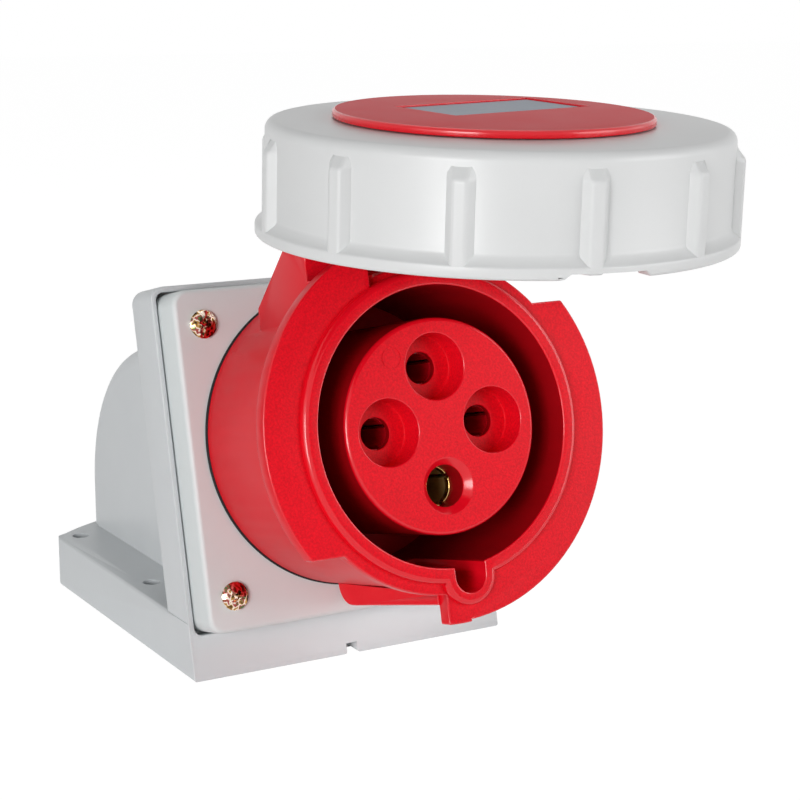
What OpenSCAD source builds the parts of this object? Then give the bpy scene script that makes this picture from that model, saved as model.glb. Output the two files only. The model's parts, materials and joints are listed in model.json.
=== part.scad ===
// Surface mount pin and sleeve socket for three poles and earth, with a bayonet lid that stands open.
// Millimetres, +Z up. The origin is the centre of the four mounting holes, on the base plane.
// The socket faces -Y and looks up by the slope of the box front.
// Pieces of the front are drawn in the face frame: X to the right, Y up the slope from the socket
// axis, Z outwards along that axis from the box front. Lid pieces are drawn shut in that frame.

/* [Box] */
// Width of the box
box_w = 101; // [99:0.5:112]
// Height of the box front, measured up its slope
front_h = 111.6; // [108:0.2:122]
// Slope of the box front away from upright, in degrees
front_tilt = 13.3; // [8:0.1:18]
// Depth of the front frame behind its face
frame_depth = 15; // [13:0.5:22]
// Radius of the frame's upper corners
frame_corner_r = 4; // [2:0.5:8]
// Step of the frame's sides inside the base's sides
frame_step = 0.2; // [0.1:0.1:1]
// Width of the frame's rim beside and above the plate
frame_rim = 1.6; // [1.2:0.1:2.4]
// Height of the sill under the plate, up the slope
sill_h = 12.9; // [9:0.1:13.5]
// Depth of the recess that the plate sits in
recess_depth = 6; // [4:0.5:8]
// Width of the ledge that carries the plate's gasket
ledge_w = 4.7; // [3.5:0.1:5.5]
// Wall of the box
wall = 3; // [2:0.2:4]
// Height of the base with its two side shelves
base_h = 16; // [12:0.5:24]
// Length of the base from the front edge to the back of its round end
base_l = 127; // [122:1:140]
// Plan radius of the round back
back_r = 75; // [66:1:110]
// Radius of the base's back corners
base_corner_r = 4; // [2:0.5:8]
// Width of each side shelf
shelf_w = 16.5; // [13:0.5:18]
// Distance of the dome's bend axis behind the front edge
bend_y = 68; // [62:1:74]
// Height of the dome's bend axis
bend_z = 30; // [24:1:36]
// Angle of the bend, from the upright back to the sloping top
bend_angle = 71.4; // [60:0.2:80]
// Step of the dome's back inside the base's edge
dome_step = 0.8; // [0.4:0.1:2]
// Radius along the dome's side edges
dome_edge_r = 6; // [4:0.5:9]
// Width of the drain notch in the front edge
notch_w = 3.4; // [3:0.2:8]
// Height of the drain notch
notch_h = 3; // [1.5:0.1:5]

/* [Mounting holes] */
// Distance of the holes inside the box's sides
hole_inset_x = 7; // [6:0.5:8.5]
// Distance of the front holes behind the front edge
hole_front_y = 46.2; // [40:0.2:50]
// Distance of the back holes in front of the base's round end
hole_back_y = 22.3; // [20:0.1:30]
// Diameter of the holes
hole_d = 5.3; // [4:0.1:6]
// Diameter of the bosses round the holes, under the shelf
boss_d = 11; // [9:0.5:13]

/* [Plate] */
// Gap between the plate and the frame's rim, at each side
plate_gap_x = 1.7; // [1:0.1:2.6]
// Gap between the plate and the sill, and between the plate and the rim over it
plate_gap_y = 1.4; // [1:0.1:2.6]
// Distance that the plate's face stands in front of the box
plate_proud = 10; // [8:0.5:13]
// Thickness of the plate's face
plate_t = 4; // [3:0.5:5]
// Corner radius of the plate
plate_corner_r = 6; // [4:0.5:8]
// Radius along the plate's front edge
plate_edge_r = 3; // [1:0.5:3.5]
// Thickness of the gasket under the plate
gasket_t = 1.5; // [1:0.1:2.5]
// Distance of the plate screws inside the plate's sides
screw_inset_x = 7; // [6.5:0.1:8]
// Distance of the plate screws inside the plate's upper and lower edges
screw_inset_y = 9.1; // [8.1:0.1:10.1]
// Diameter of the plate screws' heads
screw_head_d = 8; // [7:0.1:9]
// Height of the plate screws' heads
screw_head_h = 2.4; // [1.6:0.1:3.5]
// Diameter of the plate screws
screw_d = 3.8; // [3:0.1:4.2]

/* [Socket] */
// Height of the socket axis, up the slope
socket_up = 64.5; // [63:0.1:65.5]
// Distance of the contact face in front of the box
face_out = 66.2; // [62:0.2:68]
// Height of the rim over the contact face
rim_rise = 1.8; // [1:0.1:3]
// Radius of the socket's mouth
mouth_r = 37.3; // [36:0.1:38]
// Outer radius of the rim
rim_r = 41.5; // [41:0.1:42]
// Height of the rim over the bayonet flange
rim_step = 2; // [1:0.1:3]
// Outer radius of the sleeve
sleeve_r = 43; // [42.4:0.1:43.4]
// Radius of the spigot that centres the sleeve in the plate
spigot_r = 36.6; // [36:0.1:37]
// Thickness of the seal between sleeve and plate
sleeve_seal_t = 1; // [0.6:0.1:1.6]
// Radius of the collar between the bayonet wings
collar_r = 44.5; // [44:0.1:45]
// Outer radius of the bayonet wings
wing_r = 51.8; // [51:0.1:52.6]
// Thickness of the bayonet flange
flange_t = 4.5; // [3.5:0.1:5.5]
// Distance from the axis to the level ends of the wings
wing_level = 30; // [27:0.5:33]
// Distance from the axis to the upright end of the left wing
wing_upright = 16.5; // [15.5:0.5:20]
// Distance from the axis to the stop tooth's end face
tooth_x = 4.4; // [3.6:0.1:8]
// Width of the stop tooth
tooth_w = 7.1; // [6:0.1:12]
// Rise of the stop tooth over the wing
tooth_rise = 0.6; // [0.3:0.1:1]
// Thickness of the sleeve's floor
floor_t = 6; // [5:0.5:8]
// Distance of the floor's back in front of the box
floor_out = 8; // [7:0.5:9]
// Distance from the axis to the keyway's middle, to the right
key_x = 2.7; // [0:0.1:3.5]
// Width of the keyway
key_w = 9.2; // [8:0.1:10.4]
// Distance from the axis to the bottom of the keyway
key_reach = 44.5; // [43:0.1:45.5]
// Wall round the keyway
key_wall = 3.3; // [2.6:0.1:3.6]
// Length of the keyway from the rim
key_l = 38; // [25:1:42]
// Draft of the keyway rib's sides, in degrees
rib_draft = 3.2; // [1:0.1:4]
// Drop of the keyway rib's underside from the flange back to the plate
rib_fall = 1.5; // [0.5:0.1:2]
// Radius of the keyway rib's back end
rib_end_r = 6.2; // [4:0.1:7]

/* [Contacts] */
// Radius of the contact insert
insert_r = 28.75; // [28:0.05:29.5]
// Radius of the circle through the contacts
pitch_r = 15.85; // [15.5:0.05:16.2]
// Diameter of the phase holes
phase_hole_d = 8.6; // [8.5:0.1:9]
// Diameter of the counterbores round the phase holes
phase_recess_d = 17.7; // [16:0.1:18.5]
// Depth of the counterbores
phase_recess = 7.8; // [5:0.1:10]
// Diameter of the earth hole
earth_hole_d = 11.2; // [10.6:0.1:11.6]
// Diameter of the countersink round the earth hole
earth_sink_d = 15; // [13:0.1:16]
// Depth of the countersink
earth_sink = 1.9; // [1:0.1:3]
// Diameter of the phase pins that the contacts take
phase_pin_d = 8; // [7.6:0.1:8.2]
// Diameter of the earth pin
earth_pin_d = 10; // [9.6:0.1:10.4]
// Wall of the contact tubes
tube_wall = 1.35; // [1:0.05:1.6]
// Depth that a pin goes into a tube
pin_depth = 28; // [20:0.5:32]
// Width of the slots that split the tubes
slot_w = 1.2; // [0.8:0.1:2]
// Length of the slots
slot_l = 18; // [10:0.5:20]
// Diameter of the terminal ends of the contacts
terminal_d = 14; // [13.8:0.1:15]
// Diameter of the wire holes
wire_d = 9; // [7:0.1:10]
// Depth of the wire holes
wire_depth = 14; // [10:0.5:16]
// Diameter of the terminal screws
terminal_screw_d = 4; // [3:0.1:5]
// Length of the terminal carrier behind the floor
carrier_l = 30; // [27:0.5:34]
// Radius of the terminal carrier
carrier_r = 27; // [26:0.1:27.5]

/* [Hinge] */
// Height of the hinge axis over the socket axis
hinge_up = 53.8; // [53:0.1:55]
// Distance of the hinge axis in front of the box
hinge_out = 49.6; // [48:0.1:50]
// Diameter of the hinge pin
pin_d = 5; // [4:0.1:6]
// Radius of the hinge knuckles
knuckle_r = 6; // [5:0.1:6.3]
// Half width of the hinge bracket
bracket_x = 29.5; // [26:0.5:31]
// Distance of the bracket's back in front of the box
bracket_back = 24.5; // [20:0.5:28]
// Height of the bracket's upright back over the socket axis
bracket_back_up = 37.2; // [35:0.1:39]
// Width of the lid's hinge arm
arm_w = 26; // [20:0.5:27]
// Lid's opening from shut, in degrees
lid_open = 74; // [0:1:100]
// Turn of the lock ring from its unlocked place, in degrees
ring_turn = 0; // [0:1:60]

/* [Lid] */
// Height of the lock ring
ring_h = 28; // [26:0.1:29]
// Distance of the shut ring's top in front of the socket's rim
ring_out = 17; // [16.6:0.1:18]
// Outer radius of the ring's wall
ring_r = 57.3; // [57:0.1:58]
// Inner radius of the ring's wall
ring_in_r = 54.5; // [54.2:0.1:55]
// Outer radius of the ring's lip
lip_r = 59.6; // [59:0.1:61]
// Height of the lip's upright band
lip_h = 2.9; // [2:0.1:4]
// Height of the slope over the lip
lip_slope = 2.3; // [1.5:0.1:4]
// Thickness of the ring's top
ring_top_t = 3; // [2.4:0.1:3.4]
// Radius along the ring's top edge
ring_edge_r = 2; // [1:0.1:2.4]
// Number of grip ribs
rib_count = 12; // [8:1:16]
// Width of a rib at its crest
rib_crest = 2.6; // [2:0.1:4]
// Width of a rib at its foot
rib_foot = 7; // [5:0.1:9]
// Distance of the ribs' tops under the ring's top
rib_drop = 3; // [2.5:0.1:5]
// Turn of the first rib from the top of the shut lid, clockwise
rib_start = 11; // [0:1:29]
// Middle of the first bayonet lug, clockwise from the top of the shut lid
lug_mid = 34; // [33:0.5:35]
// Angle that a lug covers
lug_angle = 25; // [20:0.5:26]
// Inner radius of the lugs
lug_r = 48.8; // [48.4:0.1:50]
// Thickness of the lugs
lug_t = 2.8; // [2:0.1:3]
// Depth of the index notch in the lip
index_h = 1.5; // [0.8:0.1:2.5]
// Radius of the red disc
disc_r = 39.65; // [38.6:0.05:42]
// Thickness of the red disc over the ring
disc_t = 1.9; // [1.4:0.1:3]
// Offset of the disc towards the hinge
disc_shift = 3; // [0:0.1:3.6]
// Radius of the disc's hub
hub_r = 34; // [31:0.1:34.5]
// Thickness of the lid's cap
cap_t = 4.6; // [4:0.1:5]
// Length of the rating label
label_l = 45; // [30:0.5:46]
// Width of the rating label
label_w = 23; // [16:0.5:25]
// Depth of the recess that holds the label
label_deep = 0.8; // [0.5:0.1:1]
// Turn of the label on the disc, in degrees
label_turn = 10; // [-45:1:45]
// Offset of the label from the disc's centre, sideways
label_x = 6; // [-8:0.5:8]
// Offset of the label from the disc's centre, towards the hinge
label_y = 10; // [-12:0.5:12]
// Thickness of the lid's gasket
seal_t = 3.8; // [3:0.1:4]

/* [Cable gland] */
// Height of the gland's axis
gland_z = 31; // [29:0.5:33]
// Diameter of the gland's thread
gland_d = 32; // [25:0.5:34]
// Distance across the gland's flats
gland_flats = 36; // [35.5:0.5:38]
// Diameter of the cable that the gland takes
cable_d = 19; // [14:0.5:20]

/* [Hidden] */
$fn = 96;
box_grey = [0.83, 0.84, 0.85];
plate_grey = [0.88, 0.87, 0.87];
socket_red = [0.85, 0.10, 0.15];
ring_white = [0.92, 0.92, 0.91];
seal_black = [0.10, 0.10, 0.10];
zinc_yellow = [0.80, 0.66, 0.36];
brass = [0.80, 0.62, 0.28];
steel = [0.75, 0.76, 0.78];
label_grey = [0.70, 0.74, 0.78];
over = 1;                       // reach of a cut past the face that it opens
far = 300;                      // larger than the whole object
slip = 0.05;                    // radial clearance of a piece that slides into its hole
press = 0.02;                   // radial clearance of a pressed pin
run = 0.08;                     // radial clearance of the turning hinge
gap = 0.3;                      // clearance between pieces that pass each other
hole_span_x = box_w - 2*hole_inset_x;
hole_span_y = base_l - hole_front_y - hole_back_y;
front_to_origin = hole_front_y + hole_span_y/2;
frame_w = box_w - 2*frame_step;
plate_w = frame_w - 2*frame_rim - 2*plate_gap_x;
plate_h = front_h - sill_h - frame_rim - 2*plate_gap_y;
plate_low_y = sill_h + plate_gap_y - socket_up;
screw_span_x = plate_w - 2*screw_inset_x;
screw_span_y = plate_h - 2*screw_inset_y;
screw_mid = plate_low_y + plate_h/2 + 0.5;
small_screw_r = 1.5;
small_head_r = 2.8;
small_head_h = 2.2;
sleeve_screw_grip = 8;
rim_out = face_out + rim_rise;
flange_out = rim_out - rim_step;
flange_back = flange_out - flange_t;
floor_front = floor_out + floor_t;
plate_back = plate_proud - plate_t;
boss_rise = 1;
skirt_t = 3;
ring_top = rim_out + ring_out;
ring_low = ring_top - ring_h;
bracket_front = ring_low - 0.9;

// Places
module on_face() {
    translate([0, -front_to_origin, 0])
        rotate([90 - front_tilt, 0, 0])
            translate([0, socket_up, 0])
                children();
}

module at_lid() {
    on_face()
        translate([0, hinge_up, hinge_out])
            rotate([-lid_open, 0, 0])
                translate([0, -hinge_up, -hinge_out])
                    children();
}

module from_front() {
    translate([0, -front_to_origin, 0])
        children();
}

module along_x(from, to) {
    translate([from, 0, 0])
        rotate([90, 0, 90])
            linear_extrude(to - from)
                children();
}

module four_corners(span_x, span_y, mid_y = 0) {
    for (x = [-1, 1], y = [-1, 1])
        translate([x*span_x/2, mid_y + y*span_y/2, 0])
            children();
}

module disc(r, from, to) {
    translate([0, 0, from])
        cylinder(h = to - from, r = r);
}

module tube(r_out, r_in, from, to) {
    difference() {
        disc(r_out, from, to);
        disc(r_in, from - over, to + over);
    }
}

// A rectangle with round corners, standing on its lower edge
module round_rect(w, h, low, r) {
    translate([-w/2 + r, low])
        square([w - 2*r, h]);
    translate([-w/2, low + r])
        square([w, h - 2*r]);
    for (x = [-1, 1], y = [0, 1])
        translate([x*(w/2 - r), low + r + y*(h - 2*r)])
            circle(r);
}

// Outline with straight sides and a round back that meets them in round corners
module round_back(half_w, arc_r, arc_y, corner_r, from_y) {
    corner_x = half_w - corner_r;
    corner_y = arc_y + sqrt(pow(arc_r - corner_r, 2) - pow(corner_x, 2));
    translate([-half_w, from_y])
        square([2*half_w, corner_y - from_y]);
    for (side = [-1, 1])
        translate([side*corner_x, corner_y])
            circle(corner_r);
    intersection() {
        translate([0, arc_y])
            circle(arc_r);
        polygon([[0, arc_y], [-2*corner_x, 2*corner_y - arc_y], [2*corner_x, 2*corner_y - arc_y]]);
    }
}

// Everything behind a plane of the face frame
module behind_face(out) {
    on_face()
        translate([-far/2, -far/2, out - far])
            cube(far);
}

// Points along an arc, as offsets from its centre
function arc_points(r, from, to, steps) =
    [for (i = [0 : steps]) let (turn = from + (to - from)*i/steps) r*[cos(turn), sin(turn)]];

// Section of the dome: straight sides, round edges and a crowned back, from the bend axis outwards
function dome_section(inset) =
    let (
        half_w = box_w/2 - shelf_w - inset,
        edge_r = dome_edge_r - inset,
        crown_r = back_r - dome_step - inset,
        crown_y = base_l - back_r - bend_y,
        edge_x = half_w - edge_r,
        edge_y = crown_y + sqrt(pow(crown_r - edge_r, 2) - pow(edge_x, 2)),
        meet = atan2(edge_y - crown_y, edge_x),
        edge = [for (p = arc_points(edge_r, 0, meet, 5)) p + [edge_x, edge_y]],
        crown = [for (p = arc_points(crown_r, meet, 180 - meet, 10)) p + [0, crown_y]],
        count = len(edge) - 1
    )
    concat([[half_w, 0]], [for (i = [0 : count - 1]) edge[i]], crown,
           [for (i = [count - 1 : -1 : 0]) [-edge[i][0], edge[i][1]]], [[-half_w, 0]]);

// The dome: its section bent from the upright back to the sloping top, and filled towards the front
module dome(inset) {
    half_w = box_w/2 - shelf_w - inset;
    low = inset > 0 ? wall : 0;
    fill_up = 20;
    rise = [-sin(bend_angle), cos(bend_angle)]*bend_y;
    section = dome_section(inset);
    from_front()
        translate([0, bend_y, bend_z]) {
            translate([0, 0, low - bend_z])
                linear_extrude(bend_z - low)
                    polygon(section);
            rotate([bend_angle, 0, 0])
                linear_extrude(bend_y)
                    polygon(section);
            intersection() {
                rotate([90, 0, 90])
                    rotate_extrude(angle = 90, $fn = 128)
                        polygon([for (p = section) [p[1], p[0]]]);
                rotate([bend_angle, 0, 0])
                    translate([-far/2, -far/2, -far])
                        cube(far);
            }
            along_x(-half_w, half_w)
                polygon([[0, fill_up], [0, low - bend_z], [-bend_y, low - bend_z], rise + [0, fill_up]]);
        }
}

module mounting_holes() {
    four_corners(hole_span_x, hole_span_y)
        children();
}

module plate_screw_places() {
    four_corners(screw_span_x, screw_span_y, screw_mid)
        children();
}

// Box
module box_base() {
    intersection() {
        from_front()
            linear_extrude(base_h)
                round_back(box_w/2, back_r, base_l - back_r, base_corner_r, 0);
        behind_face(0);
    }
}

module box_frame() {
    intersection() {
        on_face()
            translate([0, 0, -frame_depth])
                linear_extrude(frame_depth)
                    union() {
                        round_rect(frame_w, front_h, -socket_up, frame_corner_r);
                        translate([-frame_w/2, -socket_up])
                            square([frame_w, front_h/2]);
                    }
        translate([-far/2, -far/2, base_h/2])
            cube(far);
    }
}

gland_face = base_l + 1.5 - front_to_origin;
gland_pad_r = gland_flats/2 + 3;
gland_wall = 11;
locknut_t = 5;
gland_hex_t = 5;
gland_neck_l = 12;
gland_seat_r = gland_d/2 - 3.2;
gland_seal_end = gland_neck_l + 1;
nut_hex_l = 9;
nut_cone_l = 5;

module along_gland(y) {
    translate([0, y, gland_z])
        rotate([-90, 0, 0])
            children();
}

// Hollow for the plate, the terminals and the wires
module box_inside() {
    open_w = frame_w - 2*frame_rim;
    open_h = front_h - sill_h - frame_rim;
    inner_r = max(frame_corner_r - frame_rim, 0.5);
    on_face() {
        translate([0, 0, -recess_depth])
            linear_extrude(recess_depth + over)
                round_rect(open_w, open_h, sill_h - socket_up, inner_r);
        difference() {
            translate([0, 0, wall - frame_depth])
                linear_extrude(frame_depth - wall - recess_depth + over/2)
                    round_rect(open_w - 2*ledge_w, open_h - 2*ledge_w, sill_h + ledge_w - socket_up, inner_r);
            plate_screw_places()
                disc(screw_d/2 + 2.4, -frame_depth, over - recess_depth);
        }
    }
    intersection() {
        dome(wall);
        behind_face(wall - frame_depth + over/2);
    }
}

module shelf_pockets() {
    half_in = box_w/2 - shelf_w;
    translate([0, 0, -over])
        linear_extrude(base_h - wall + over)
            difference() {
                intersection() {
                    translate([0, -front_to_origin])
                        round_back(box_w/2 - wall, back_r - wall, base_l - back_r, base_corner_r - wall/2, 24);
                    union() {
                        for (side = [-1, 1])
                            translate([side*(half_in + box_w/2)/2 - shelf_w/2, -far/2])
                                square([shelf_w, far]);
                    }
                }
                mounting_holes()
                    circle(d = boss_d);
            }
}

module mounting_box() {
    color(box_grey)
    difference() {
        union() {
            difference() {
                union() {
                    box_base();
                    box_frame();
                    intersection() {
                        dome(0);
                        behind_face(-frame_depth/2);
                    }
                }
                box_inside();
            }
            along_gland(gland_face - gland_wall)
                cylinder(h = gland_wall, r = gland_pad_r);
        }
        shelf_pockets();
        mounting_holes()
            disc(hole_d/2, -over, base_h + over);
        along_gland(gland_face - gland_wall - over)
            cylinder(h = gland_wall + 2*over, d = gland_d + 2*gap);
        on_face()
            plate_screw_places()
                disc(screw_d/2 + slip, over - frame_depth, over);
        from_front()
            translate([-notch_w/2, -over, -over])
                cube([notch_w, sill_h/2, notch_h + over]);
    }
}

// Plate with its gasket and screws
module plate_gasket() {
    in_w = frame_w - 2*frame_rim - 2*ledge_w;
    in_h = front_h - sill_h - frame_rim - 2*ledge_w;
    color(seal_black)
    on_face()
        translate([0, 0, -recess_depth])
            linear_extrude(gasket_t)
                difference() {
                    round_rect(plate_w, plate_h, plate_low_y, plate_corner_r);
                    round_rect(in_w + 2*gap, in_h + 2*gap, sill_h + ledge_w - gap - socket_up, plate_corner_r - 2);
                    plate_screw_places()
                        circle(screw_d/2 + 2*gap);
                }
}

module sleeve_screw_places() {
    for (turn = [45 : 90 : 315])
        rotate(turn)
            translate([(mouth_r + sleeve_r)/2, 0, 0])
                children();
}

module socket_plate() {
    skirt_low = gasket_t - recess_depth;
    tower_r = screw_d/2 + 2.4;
    color(plate_grey)
    on_face()
        difference() {
            union() {
                difference() {
                    hull()
                        four_corners(plate_w - 2*plate_corner_r, plate_h - 2*plate_corner_r,
                                     plate_low_y + plate_h/2) {
                            disc(plate_corner_r, skirt_low, plate_proud - plate_edge_r, $fn = 32);
                            translate([0, 0, plate_proud - plate_edge_r])
                                rotate_extrude($fn = 32)
                                    translate([plate_corner_r - plate_edge_r, 0])
                                        intersection() {
                                            circle(plate_edge_r, $fn = 32);
                                            square(plate_edge_r);
                                        }
                        }
                    translate([0, 0, skirt_low - over])
                        linear_extrude(plate_back - skirt_low + over)
                            round_rect(plate_w - 2*skirt_t, plate_h - 2*skirt_t, plate_low_y + skirt_t,
                                       plate_corner_r - skirt_t + 1);
                }
                plate_screw_places()
                    disc(tower_r, skirt_low, plate_back + over);
                sleeve_screw_places()
                    disc(3*small_screw_r, plate_back - boss_rise, plate_back + over);
            }
            disc(spigot_r + gap, plate_back - 2*over, plate_proud + over);
            plate_screw_places()
                disc(screw_d/2 + gap, skirt_low - over, plate_proud + over);
            sleeve_screw_places()
                disc(small_screw_r + gap, plate_back - boss_rise - over, plate_proud + over);
        }
}

// Screw along -Z with a domed head that sits on z = 0
module pan_screw(head_r, head_h, r, l) {
    dome_r = (head_r*head_r + head_h*head_h)/(2*head_h) + 1;
    rotate_extrude()
        intersection() {
            translate([0, head_h - dome_r])
                circle(dome_r);
            square([head_r, head_h]);
        }
    disc(r, -l, over/4);
}

module plate_screws() {
    color(zinc_yellow)
    on_face()
        plate_screw_places()
            translate([0, 0, plate_proud])
                pan_screw(screw_head_d/2, screw_head_h, screw_d/2, plate_proud + frame_depth - 2);
}

// Sleeve with bayonet flange, keyway and hinge bracket
module sleeve_seal() {
    color(seal_black)
    on_face()
        difference() {
            tube(sleeve_r + 1, spigot_r + gap, plate_proud, plate_proud + sleeve_seal_t);
            sleeve_screw_places()
                disc(small_screw_r + gap, plate_proud - over, plate_proud + sleeve_seal_t + over);
        }
}

module wing_outline() {
    intersection() {
        union() {
            circle(wing_r);
            translate([-tooth_x, -wing_r - tooth_rise - over])
                intersection() {
                    square([tooth_w, wing_r/2]);
                    translate([tooth_x, wing_r + tooth_rise + over])
                        circle(wing_r + tooth_rise);
                }
        }
        difference() {
            square(far, center = true);
            translate([-far - tooth_x, -far - wing_level])
                square(far);
            translate([-wing_upright, wing_level])
                square(far);
        }
    }
    difference() {
        circle(collar_r);
        translate([-wing_upright, 0])
            square([2*wing_upright, far]);
    }
}

module key_shape(grow) {
    r = key_w/2 + grow;
    translate([key_x, key_w/2 - key_reach])
        circle(r);
    translate([key_x - r, key_w/2 - key_reach])
        square([2*r, key_reach/2]);
}

module key_rib() {
    rib_half = key_w/2 + key_wall;
    rib_back = plate_proud + sleeve_seal_t + gap;
    rib_top = -key_reach/2;
    low_front = -key_reach - 0.75*key_wall;
    low_back = low_front - rib_fall;
    round_back = rib_back + rib_end_r;
    spread = (flange_back - rib_back)*tan(rib_draft);
    difference() {
        along_x(key_x - rib_half - spread - 1, key_x + rib_half + spread + 1) {
            polygon([[rib_top, rib_back], [low_back + rib_end_r, rib_back], [low_back + rib_end_r, round_back],
                     [low_back, round_back], [low_back, round_back + 2], [low_front, flange_back + over],
                     [rib_top, flange_back + over]]);
            translate([low_back + rib_end_r, round_back])
                circle(rib_end_r);
        }
        for (side = [0, 1])
            translate([key_x, 0, flange_back])
                mirror([side, 0, 0])
                    translate([rib_half, 0, 0])
                        rotate([0, -rib_draft, 0])
                            translate([0, -far/2, -far/2])
                                cube(far);
    }
}

module bracket_wedge() {
    slope = 0.73;
    wedge_front = hinge_out - knuckle_r - 1.3;
    wedge_up = bracket_back_up + slope*(wedge_front - bracket_back);
    polygon([[mouth_r*0.7, bracket_back], [bracket_back_up, bracket_back], [wedge_up, wedge_front],
             [mouth_r*0.7, wedge_front]]);
}

module bracket_cheek() {
    slope = 0.73;
    cheek_r = knuckle_r + 0.3;
    cheek_back = hinge_out - cheek_r;
    cheek_up = bracket_back_up + slope*(cheek_back - bracket_back);
    polygon([[mouth_r*0.7, bracket_back], [bracket_back_up, bracket_back], [cheek_up, cheek_back],
             [hinge_up, cheek_back], [hinge_up, hinge_out + cheek_r], [hinge_up - cheek_r, bracket_front],
             [mouth_r*0.7, bracket_front]]);
    translate([hinge_up, hinge_out])
        circle(cheek_r);
}

module wing_web() {
    web_up = sqrt(pow(wing_r - 0.8, 2) - pow(bracket_x, 2));
    translate([mouth_r*0.7, bracket_front - over])
        square([web_up - mouth_r*0.7, flange_back - bracket_front + 2*over]);
}

module hinge_bracket() {
    along_x(-bracket_x, bracket_x)
        bracket_wedge();
    for (side = [-1, 1])
        along_x(side > 0 ? arm_w/2 + gap : -bracket_x, side > 0 ? bracket_x : -arm_w/2 - gap) {
            bracket_cheek();
            if (side < 0)
                wing_web();
        }
}

module socket_sleeve() {
    color(socket_red)
    on_face()
        difference() {
            union() {
                disc(spigot_r, floor_out, flange_back);
                disc(sleeve_r, plate_proud + sleeve_seal_t, flange_back + over);
                disc(rim_r, flange_back - over, rim_out);
                translate([0, 0, flange_back])
                    linear_extrude(flange_t)
                        wing_outline();
                translate([0, 0, flange_back])
                    linear_extrude(rim_out - flange_back)
                        key_shape(key_wall);
                key_rib();
                hinge_bracket();
            }
            disc(mouth_r, floor_front, rim_out + over);
            disc(insert_r - 4.2, floor_out - over, floor_front + over);
            translate([0, 0, rim_out - key_l])
                linear_extrude(key_l + over)
                    key_shape(0);
            along_x(-bracket_x - over, bracket_x + over)
                translate([hinge_up, hinge_out])
                    circle(pin_d/2 + press);
            sleeve_screw_places()
                disc(small_screw_r + slip, plate_proud, plate_proud + sleeve_seal_t + sleeve_screw_grip + 0.5);
            carrier_screw_places()
                disc(small_screw_r + slip, floor_out - over, floor_front - over);
        }
}

// Insert, contacts and terminals
phase_floor = face_out - phase_recess;
phase_tube_front = phase_floor - 2.2;
earth_tube_front = face_out - 8.7;
phase_tube_r = phase_pin_d/2 + 0.1 + tube_wall;
earth_tube_r = earth_pin_d/2 + 0.1 + tube_wall;
spring_t = 0.6;
carrier_back = floor_out - carrier_l;
carrier_flange_t = 5;
carrier_flange_r = spigot_r - 0.6;
terminal_front = floor_out - 6;
terminal_back = carrier_back + 2;
terminal_screw_z = terminal_back + wire_depth/2;

module contact_place(turn) {
    rotate(turn)
        translate([pitch_r, 0, 0])
            children();
}

module carrier_screw_places() {
    for (turn = [45 : 90 : 315])
        rotate(turn)
            translate([(carrier_r + carrier_flange_r)/2 - 0.6, 0, 0])
                children();
}

module contact_insert() {
    edge = 1.2;
    color(socket_red)
    on_face()
        difference() {
            rotate_extrude()
                union() {
                    translate([0, floor_front])
                        square([insert_r, face_out - edge - floor_front]);
                    translate([0, floor_out])
                        square([insert_r - 4.5, face_out - floor_out - 10]);
                    translate([0, face_out - 10])
                        square([insert_r - edge, 10]);
                    translate([insert_r - edge, face_out - edge])
                        circle(edge, $fn = 32);
                }
            for (turn = [0, 90, 180])
                contact_place(turn) {
                    disc(phase_recess_d/2, phase_floor, face_out + over);
                    disc(phase_hole_d/2, floor_out - over, face_out);
                    disc(phase_tube_r + spring_t + 0.35, floor_out - over, phase_tube_front + 0.2);
                }
            contact_place(270) {
                disc(earth_hole_d/2, floor_out - over, face_out + over);
                disc(earth_tube_r + spring_t + 0.15, floor_out - over, earth_tube_front + 0.2);
                translate([0, 0, face_out - earth_sink])
                    cylinder(h = earth_sink, d1 = earth_hole_d, d2 = earth_sink_d);
            }
        }
}

// Turned contact: a slotted tube in front, a terminal with a wire hole and a screw hole behind
module contact(tube_r, tube_front) {
    bore_r = tube_r - tube_wall;
    difference() {
        union() {
            disc(tube_r, terminal_front - over, tube_front);
            disc(terminal_d/2, terminal_back, terminal_front);
        }
        disc(bore_r, tube_front - pin_depth, tube_front + over);
        for (turn = [25, 115])
            rotate(turn)
                translate([-tube_r - over, -slot_w/2, tube_front - slot_l])
                    cube([2*tube_r + 2*over, slot_w, slot_l + over]);
        disc(wire_d/2, terminal_back - over, terminal_back + wire_depth);
        translate([0, 0, terminal_screw_z])
            rotate([0, 90, 0])
                cylinder(h = terminal_d, d = terminal_screw_d + 2*slip);
    }
}

module phase_contact(turn) {
    color(brass)
    on_face()
        contact_place(turn)
            contact(phase_tube_r, phase_tube_front);
}

module earth_contact() {
    color(brass)
    on_face()
        contact_place(270)
            contact(earth_tube_r, earth_tube_front);
}

// Split steel ring that closes the slotted end of a tube
module contact_spring(turn, tube_r, tube_front) {
    color(steel)
    on_face()
        contact_place(turn)
            difference() {
                tube(tube_r + slip + spring_t, tube_r + slip, tube_front - 7, tube_front - 4);
                rotate(70)
                    translate([0, -slot_w/2, tube_front - 8])
                        cube([2*tube_r, slot_w, 5]);
            }
}

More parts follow.
